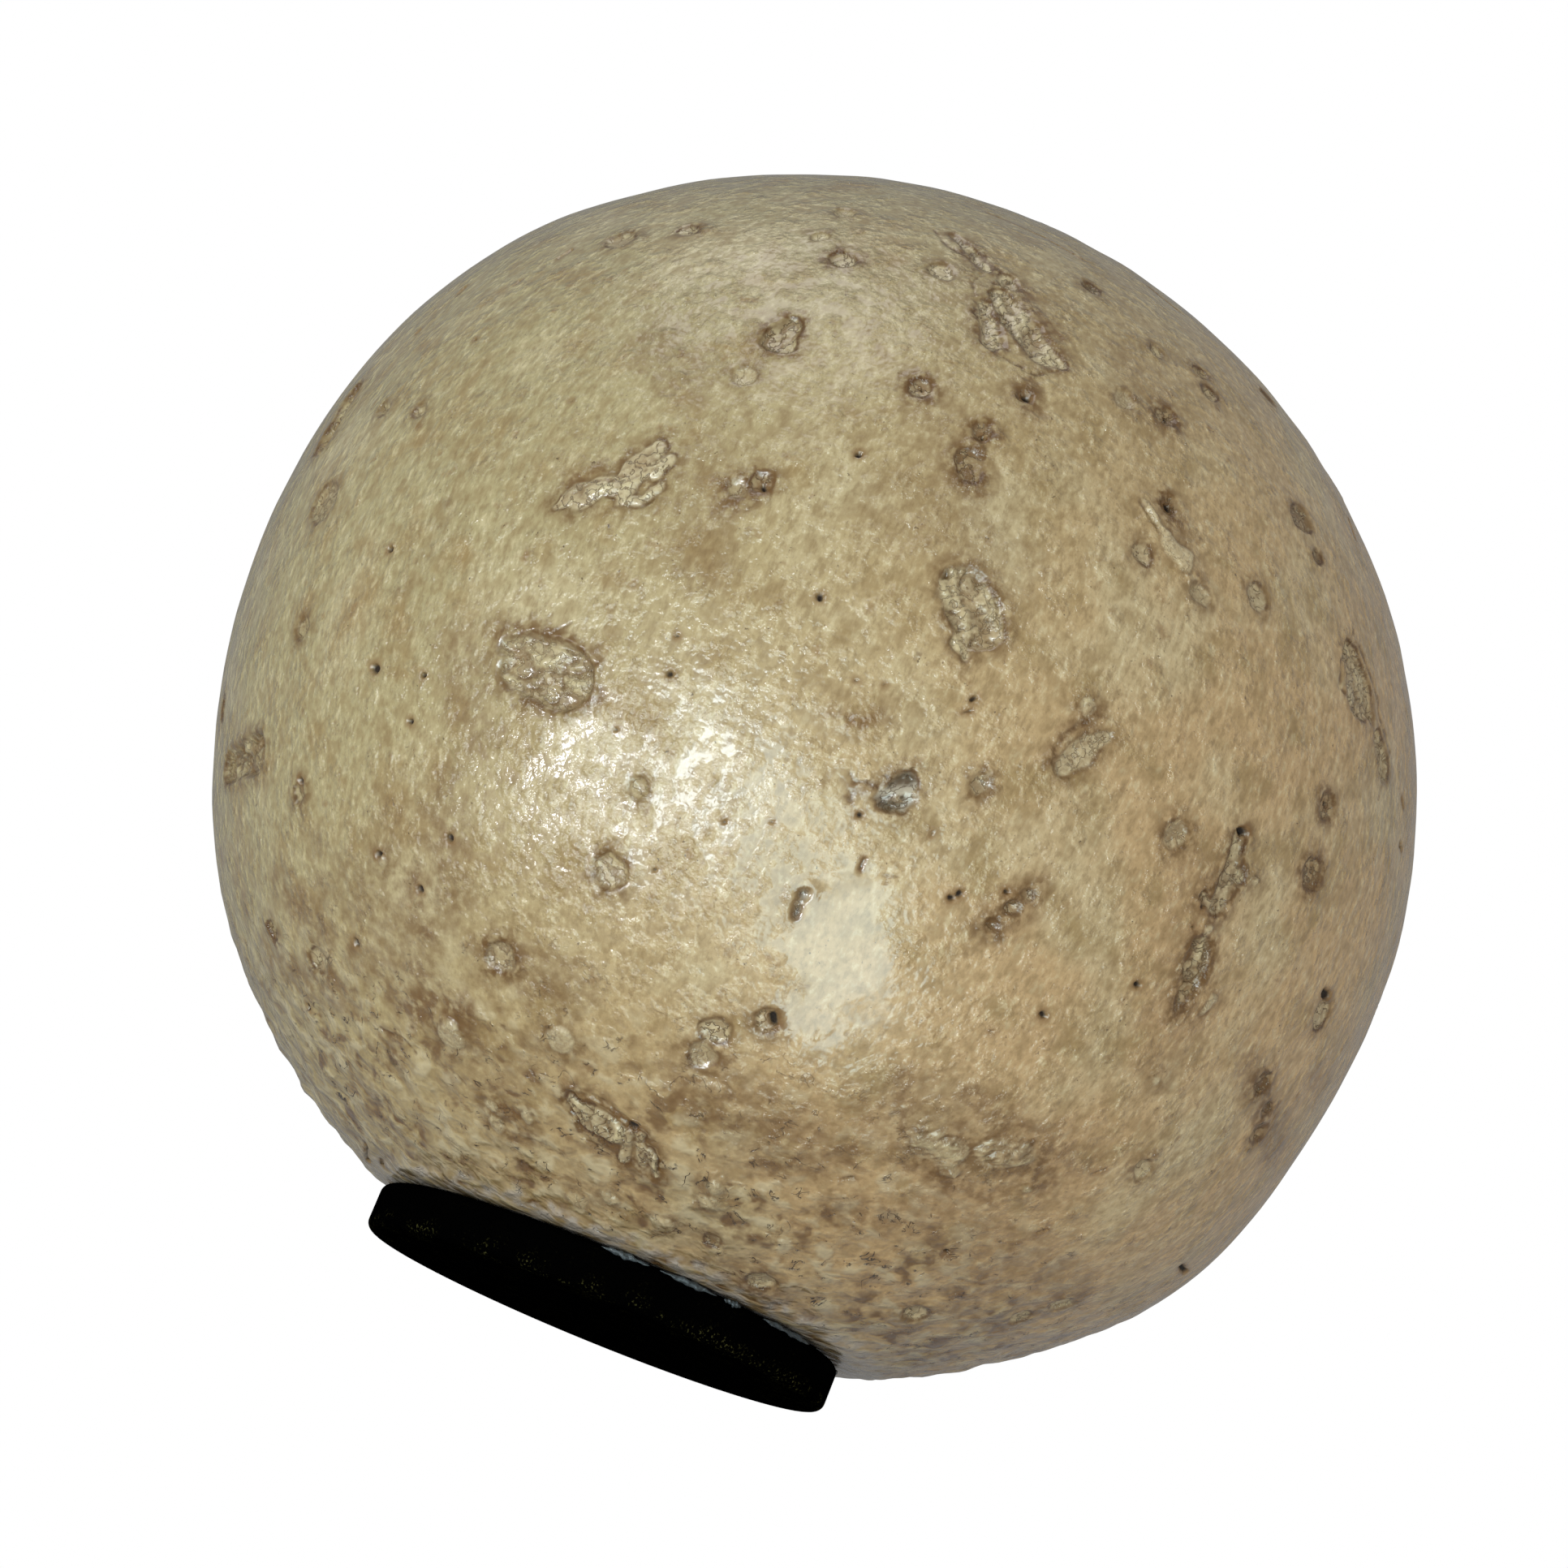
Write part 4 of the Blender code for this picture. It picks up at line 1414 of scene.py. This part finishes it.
def glaze_grain(tree):
    """The maps that the ball's mesh carries, the noises, and the masks made from both, by name."""
    grain = {key: add(tree, "Attribute", out="Fac", attribute_name=key) for key in COLOUR_MAPS}
    place = add(tree, "TexCoord", out="Object")
    for name, (pitch_mm, detail) in NOISES.items():
        grain[name] = add(tree, "TexNoise", {"Vector": place, "Scale": cells(pitch_mm), "Detail": detail})
    down = add(tree, "VectorMath", {0: place, 1: DOWN_BALL}, operation="MULTIPLY")
    along = add(tree, "VectorMath", {0: place, 1: ALONG_RIM}, operation="MULTIPLY")
    streaks = {"Vector": down, "Scale": cells(STREAK_MM), "Detail": 3.0, "Roughness": 0.65}
    lumps = {"Vector": along, "Scale": cells(LUMP_MM), "Detail": 2.0, "Distortion": 0.3}
    spread = {"Vector": along, "Scale": cells(CRACK_SPREAD_MM), "Detail": 4.0, "Distortion": 1.0}
    grain["streaks"] = add(tree, "TexNoise", streaks)
    grain["lumps"] = add(tree, "TexNoise", lumps)
    spread = add(tree, "TexNoise", spread)
    for name, noise in (("crack_middle", spread), ("crease_middle", grain["smudge"])):
        above = add(tree, "Math", {0: noise, 1: 0.5}, operation="SUBTRACT")
        grain[name] = add(tree, "Math", {0: above}, operation="ABSOLUTE")
    grain["outline_middle"] = add(tree, "Math", {0: grain["outline_mm"]}, operation="ABSOLUTE")

    add_masks(tree, grain, EVEN_MASKS, {})
    over = {0: grain["mottle"], 1: grain["brown_from"]}
    grain["over"] = add(tree, "Math", over, operation="SUBTRACT")
    add_masks(tree, grain, SOFT_MASKS, SOFT)
    for name, (first, *others) in PRODUCTS.items():
        grain[name] = grain[first]
        for other in others:
            grain[name] = add(tree, "Math", {0: grain[name], 1: grain[other]}, **TIMES)
    # painted shade in the creases that the mesh has
    painted_shade_in_creases = add(tree, "Math", {0: grain["crease"], 1: CREASE_SHADE_SHARE}, **TIMES)
    grain["painted_shade_in_creases"] = add(tree, "Math", {0: painted_shade_in_creases, 1: grain["creases"]}, operation="MAXIMUM")
    return grain


def layered(tree, grain, colour, layers):
    """A colour with layers of other colours over it."""
    for paint, first, *others in layers:
        share = grain[first]
        for other in others:
            share = add(tree, "Math", {0: share, 1: grain[other]}, **TIMES)
        colour = add(tree, "Mix", {SHARE: share, UNDER: colour, OVER: paint}, **RGBA)
    return colour


def stained_body(tree, grain):
    """Greenish tan to the left and warmer to the right, with pale and ochre clouds, darker and paler
    streaks drawn out down the ball, painted shade in the dips of the peel, pepper in places, and smudges
    of brown. At the foot the lumps are drawn pale as painted light, with brown painted shade between them."""
    colour = add(tree, "Mix", {SHARE: grain["warm"], UNDER: "#aca074", OVER: "#c0a172"}, **RGBA)
    return layered(tree, grain, colour, BODY_LAYERS)


def marked(tree, grain, colour):
    """The same with its marks: a broken brown ring round them that is partly painted shade, the floor darker
    or paler than the body or grey as stone, painted light on the floor's lumps and painted shade at their
    feet, in its creases and in the stone's low places, a dark outline that comes and goes, and open
    pinholes with brown edges and painted shade inside."""
    colour = layered(tree, grain, colour, FLOOR_LAYERS)
    # painted shade and light: the stone's grey darker where the floor lies low and paler on its lumps
    stone = add(tree, "Mix", {SHARE: grain["stone"], UNDER: "#3a3731", OVER: "#a6a297"}, **RGBA)
    grey = add(tree, "Math", {0: grain["greyed"], 1: GREY_SHARE}, **TIMES)
    colour = add(tree, "Mix", {SHARE: grey, UNDER: colour, OVER: stone}, **RGBA)
    return layered(tree, grain, colour, EDGE_LAYERS)


def glaze_skin(tree, grain):
    """The normals of the matt body and of the gloss on it. Both have the lumps and hairline cracks at the
    foot and the creases in the marks. The body's orange peel is shallow. The gloss's is twice as deep, with
    finer waves and steep-edged dents that glint. The peel is weaker on the floors of marks and weakest
    where the glaze has pooled."""
    smooth = add(tree, "Math", {0: grain["inside"], 1: FLOOR_SMOOTHNESS}, **TIMES)
    smooth = add(tree, "Math", {0: smooth, 1: grain["pool"]}, operation="MAXIMUM")
    left = add(tree, "MapRange", {"Value": smooth, "To Min": 1.0, "To Max": POOL_PEEL})
    lumps = add(tree, "Math", {0: grain["lumps"], 1: LUMP_HEIGHT_MM}, **TIMES)
    cracks = add(tree, "Math", {0: grain["cracks"], 1: -CRACK_DEPTH_MM}, **TIMES)
    lumps = add(tree, "Math", {0: lumps, 1: cracks}, **PLUS)
    lumps = add(tree, "Math", {0: lumps, 1: grain["foot_zone"]}, **TIMES)
    creases = add(tree, "Math", {0: grain["creases"], 1: -CREASE_DEPTH_MM}, **TIMES)
    lumps = add(tree, "Math", {0: lumps, 1: creases}, **PLUS)
    fine = add(tree, "Math", {0: grain["speckle"], 1: SPECKLE_HEIGHT_MM}, **TIMES)
    dents = add(tree, "Math", {0: grain["dented"], 1: DENT_DEPTH_MM}, **TIMES)
    fine = add(tree, "Math", {0: fine, 1: dents}, **PLUS)
    normals = []
    for peel_mm, more in ((SOFT_PEEL_MM, 0.0), (SHARP_PEEL_MM, fine)):
        peel = add(tree, "Math", {0: grain["peel"], 1: peel_mm}, **TIMES)
        peel = add(tree, "Math", {0: peel, 1: more}, **PLUS)
        peel = add(tree, "Math", {0: peel, 1: grain["rough"]}, **TIMES)
        peel = add(tree, "Math", {0: peel, 1: left}, **TIMES)
        height = add(tree, "Math", {0: peel, 1: lumps}, **PLUS)
        normals.append(add(tree, "Bump", {"Height": height, "Distance": MM, "Strength": 1.0}))
    return normals


def crater_glaze():
    """Stoneware under a thick feldspar glaze that boiled in the kiln. It is glossy over a matt body, with
    an orange-peel skin about a millimetre in pitch, brown painted shade in every hollow, and burst bubbles."""
    material, tree, shader = new_material("boiled_stoneware_glaze")
    grain = glaze_grain(tree)
    matt_normal, gloss_normal = glaze_skin(tree, grain)
    rough = add(tree, "MapRange", {"Value": grain["brown"], "To Min": 0.38, "To Max": 0.55})
    linked = {
        "Base Color": marked(tree, grain, stained_body(tree, grain)),
        "Normal": matt_normal,
        "Coat Normal": gloss_normal,
        "Roughness": add(tree, "Math", {0: rough, 1: grain["open"]}, operation="MAXIMUM"),
        "Coat Weight": add(tree, "MapRange", {"Value": grain["open"], "To Min": 1.0, "To Max": 0.0}),
    }
    for socket, value in linked.items():
        tree.links.new(value, shader.inputs[socket])
    shader.inputs["IOR"].default_value = 1.52
    shader.inputs["Specular IOR Level"].default_value = 0.55
    shader.inputs["Coat Roughness"].default_value = 0.10
    shader.inputs["Coat IOR"].default_value = 1.5
    return material


PAINT_CLOUD_MM = 9
DUST_MM = 0.7
DUST_HEIGHT_MM = 0.1
DUST_AND_SHEEN_BAND_MM = 12  # the underside has dust and painted sheen this far in from the rim
DUST_AND_SHEEN_BELOW_MM = 3  # the foot's side has dust and painted sheen below this height
GLUE_CLOUD_MM = 0.9
GLUE_HEIGHT_MM = 0.3


def black_paint():
    """Turned wood under black paint, rubbed flat. It drinks light, with a trace of olive dust and lint, most
    of it round the lower rim, where the olive is partly painted sheen on the rounded edge."""
    material, tree, shader = new_material("flat_black_paint_on_wood")
    place = add(tree, "TexCoord", out="Object")
    clouds = {"Vector": place, "Scale": cells(PAINT_CLOUD_MM), "Detail": 4.0, "Roughness": 0.6}
    clouds = add(tree, "TexNoise", clouds)
    clouds = add(tree, "MapRange", {"Value": clouds, "From Min": 0.46, "From Max": 0.66}, **SOFT)
    lint = add(tree, "TexNoise", {"Vector": place, "Scale": cells(DUST_MM), "Detail": 3.0})
    lint = add(tree, "MapRange", {"Value": lint, "From Min": 0.56, "From Max": 0.66}, **SOFT)
    flat = add(tree, "VectorMath", {0: place, 1: (1, 1, 0)}, operation="MULTIPLY")
    out = add(tree, "VectorMath", {0: flat}, out=1, operation="LENGTH")
    inner = FOOT_RADIUS - DUST_AND_SHEEN_BAND_MM * MM
    rim = {"Value": out, "From Min": inner, "From Max": FOOT_RADIUS - MM, "To Min": 0.25}
    rim = add(tree, "MapRange", rim, **SOFT)
    height = add(tree, "SeparateXYZ", {"Vector": place}, out="Z")
    low = {"Value": height, "From Min": DUST_AND_SHEEN_BELOW_MM * MM, "From Max": 0.5 * MM, "To Min": 0.03}
    low = add(tree, "MapRange", low, **SOFT)
    # olive dust and lint, partly painted sheen, most of it round the lower rim
    dust_and_rim_sheen = clouds
    for mask in (lint, rim, low):
        dust_and_rim_sheen = add(tree, "Math", {0: dust_and_rim_sheen, 1: mask}, **TIMES)
    colour = add(tree, "Mix", {SHARE: dust_and_rim_sheen, UNDER: "#020202", OVER: "#56542f"}, **RGBA)
    skin = add(tree, "Bump", {"Height": lint, "Distance": DUST_HEIGHT_MM * MM, "Strength": 1.0})
    tree.links.new(colour, shader.inputs["Base Color"])
    tree.links.new(skin, shader.inputs["Normal"])
    shader.inputs["Roughness"].default_value = 0.8
    shader.inputs["Specular IOR Level"].default_value = 0.0
    return material


def dried_glue():
    """Clear glue gone cloudy where it was squeezed out of the seam, in hard glassy crumbs."""
    material, tree, shader = new_material("dried_clear_glue")
    place = add(tree, "TexCoord", out="Object")
    cloudy = add(tree, "TexNoise", {"Vector": place, "Scale": cells(GLUE_CLOUD_MM), "Detail": 3.0})
    colour = add(tree, "Mix", {SHARE: cloudy, UNDER: "#0a0a0a", OVER: "#626d72"}, **RGBA)
    skin = add(tree, "Bump", {"Height": cloudy, "Distance": GLUE_HEIGHT_MM * MM, "Strength": 1.0})
    tree.links.new(colour, shader.inputs["Base Color"])
    tree.links.new(skin, shader.inputs["Normal"])
    shader.inputs["IOR"].default_value = 1.49
    shader.inputs["Roughness"].default_value = 0.25
    return material


# The set: camera, lights, floor and surroundings


def photograph_camera():
    """The camera at the photograph's angle, shifted so that the ball lies where it does there."""
    camera = bpy.data.cameras.new("camera")
    camera.sensor_width = SENSOR_MM
    camera.lens = LENS_MM
    half = PHOTO_SIDE / 2
    camera.shift_x = (half - BALL_IN_PHOTO[0]) / PHOTO_SIDE
    camera.shift_y = (BALL_IN_PHOTO[1] - half) / PHOTO_SIDE
    made = bpy.data.objects.new("camera", camera)
    turn = Matrix(np.stack([VIEW_RIGHT, VIEW_UP, VIEW_BACK], axis=1).tolist()).to_4x4()
    made.matrix_world = Matrix.Translation(Vector(CAMERA_PLACE)) @ turn
    bpy.context.scene.collection.objects.link(made)
    bpy.context.scene.camera = made
    return made


def mirrored(pixels):
    """Where the ball mirrors these pixels to: each place on the ball, and the mirrored direction."""
    n = on_ball(pixels)
    facing = body_normal(n)
    rays = photo_rays(pixels)
    away = rays - 2 * (rays * facing).sum(axis=-1, keepdims=True) * facing
    return BALL_CENTRE + n * BALL_RADIUS, unit(away)


def disc_light(name, place, size, power, colour=(1, 1, 1)):
    light = bpy.data.lights.new(name, "AREA")
    light.shape = "DISK"
    light.size = size
    light.energy = power
    light.color = colour
    made = bpy.data.objects.new(name, light)
    made.location = Vector(place)
    made.rotation_euler = (Vector(place) - Vector(BALL_CENTRE)).to_track_quat("Z", "Y").to_euler()
    made.visible_camera = False
    bpy.context.scene.collection.objects.link(made)
    return made


EDGE_STEPS = 6


def along_edges(corners):
    """The corners of a closed outline, with more points between them."""
    corners = np.array(corners, float)
    after = np.roll(corners, -1, axis=0)
    share = np.arange(EDGE_STEPS)[:, None] / EDGE_STEPS
    return np.concatenate([a + (b - a) * share for a, b in zip(corners, after)])


def window_light(corners, distance, strength):
    """A bright pane seen only in reflections, with the outline whose mirror image falls on those corners.
    Its brightness fades from corner to corner, as the third number of each corner says."""
    edge = along_edges(corners)
    edge = np.concatenate([edge, edge.mean(axis=0, keepdims=True)])
    places, away = mirrored(edge[:, :2])
    middle = unit(away.mean(axis=0))
    points = places + away * (distance / (away @ middle))[:, None]
    last = len(points) - 1
    faces = [(i, (i + 1) % last, last) for i in range(last)]
    material = bpy.data.materials.new("window_glow")
    material.use_nodes = True
    tree = material.node_tree
    tree.nodes.clear()
    bright = add(tree, "Attribute", out="Fac", attribute_name="bright")
    bright = add(tree, "Math", {0: bright, 1: strength}, **TIMES)
    glow = add(tree, "Emission", {"Color": "#defaff", "Strength": bright})
    output = tree.nodes.new("ShaderNodeOutputMaterial")
    tree.links.new(glow, output.inputs["Surface"])
    pane = mesh_object("window_pane", points, faces, material, {"bright": edge[:, 2]})
    pane.visible_camera = False
    pane.visible_diffuse = False
    pane.visible_shadow = False
    return pane


FLOOR_SIZE = 6.0
FLOOR_GAP = 0.2 * MM  # the floor lies this far below the foot


def one_sided_floor():
    """A pale floor that the object stands on. The photograph is taken from below the level of the foot, so
    the floor is drawn only from above, and it neither shades nor shows in the glaze."""
    half = FLOOR_SIZE / 2
    corners = np.array([(-half, -half), (half, -half), (half, half), (-half, half)])
    corners = np.concatenate([corners, np.full((4, 1), -FLOOR_GAP)], axis=1)
    material = bpy.data.materials.new("pale_floor")
    material.use_nodes = True
    tree = material.node_tree
    tree.nodes.clear()
    from_below = add(tree, "NewGeometry", out="Backfacing")
    matt = add(tree, "BsdfDiffuse", {"Color": "#efeeea"})
    clear = add(tree, "BsdfTransparent")
    mixed = add(tree, "MixShader", {0: from_below, 1: matt, 2: clear})
    output = tree.nodes.new("ShaderNodeOutputMaterial")
    tree.links.new(mixed, output.inputs["Surface"])
    floor = mesh_object("floor", corners, [(0, 1, 2, 3)], material)
    floor.visible_shadow = False
    floor.visible_glossy = False
    return floor


def white_surroundings(on_matt, in_gloss):
    """White all round for the camera, and soft light that is weaker where it is mirrored."""
    world = bpy.data.worlds.new("white_surroundings")
    world.use_nodes = True
    tree = world.node_tree
    tree.nodes.clear()
    mirrored_light = add(tree, "LightPath", out="Is Glossy Ray")
    seen = add(tree, "LightPath", out="Is Camera Ray")
    level = add(tree, "MapRange", {"Value": mirrored_light, "To Min": on_matt, "To Max": in_gloss})
    level = add(tree, "MapRange", {"Value": seen, "To Min": level, "To Max": 1.0})
    sky = add(tree, "Background", {"Color": (1, 1, 1, 1), "Strength": level})
    output = tree.nodes.new("ShaderNodeOutputWorld")
    tree.links.new(sky, output.inputs["Surface"])
    bpy.context.scene.world = world


# Broad lamps round the set: the place in metres, the size, the power, and whether the glaze mirrors them
BROAD_LAMPS = {
    "top": ((-0.6, -0.3, 1.4), 0.9, 3.2, True),
    "behind": ((0.6, 1.2, 1.0), 0.8, 5.0, False),
    "fill": ((1.1, -0.9, 0.5), 0.8, 2.8, False),
}
SKY_ON_MATT = 0.52
SKY_IN_GLOSS = 0.23
WINDOW_DISTANCE = 0.9
WINDOW_STRENGTH = 6.0


def light_the_set():
    """The sky, the two lamps and the window that the glaze mirrors, and broad soft lamps round them. The
    mirrored lamps hang a metre off, where their glow falls on the photograph's pixels."""
    white_surroundings(SKY_ON_MATT, SKY_IN_GLOSS)
    for name, (pixel, size, power, colour) in LAMPS_IN_PHOTO.items():
        places, away = mirrored([pixel])
        disc_light(name, places[0] + away[0], size, power, colour)
    for name, (place, size, power, in_gloss) in BROAD_LAMPS.items():
        disc_light(name, place, size, power).visible_glossy = in_gloss
    window_light(WINDOW_IN_PHOTO, WINDOW_DISTANCE, WINDOW_STRENGTH)


bpy.context.scene.view_settings.view_transform = "Standard"
photograph_camera()
light_the_set()
one_sided_floor()
glazed_ball(crater_glaze())
painted_foot(black_paint())
glue_crumbs(dried_glue())
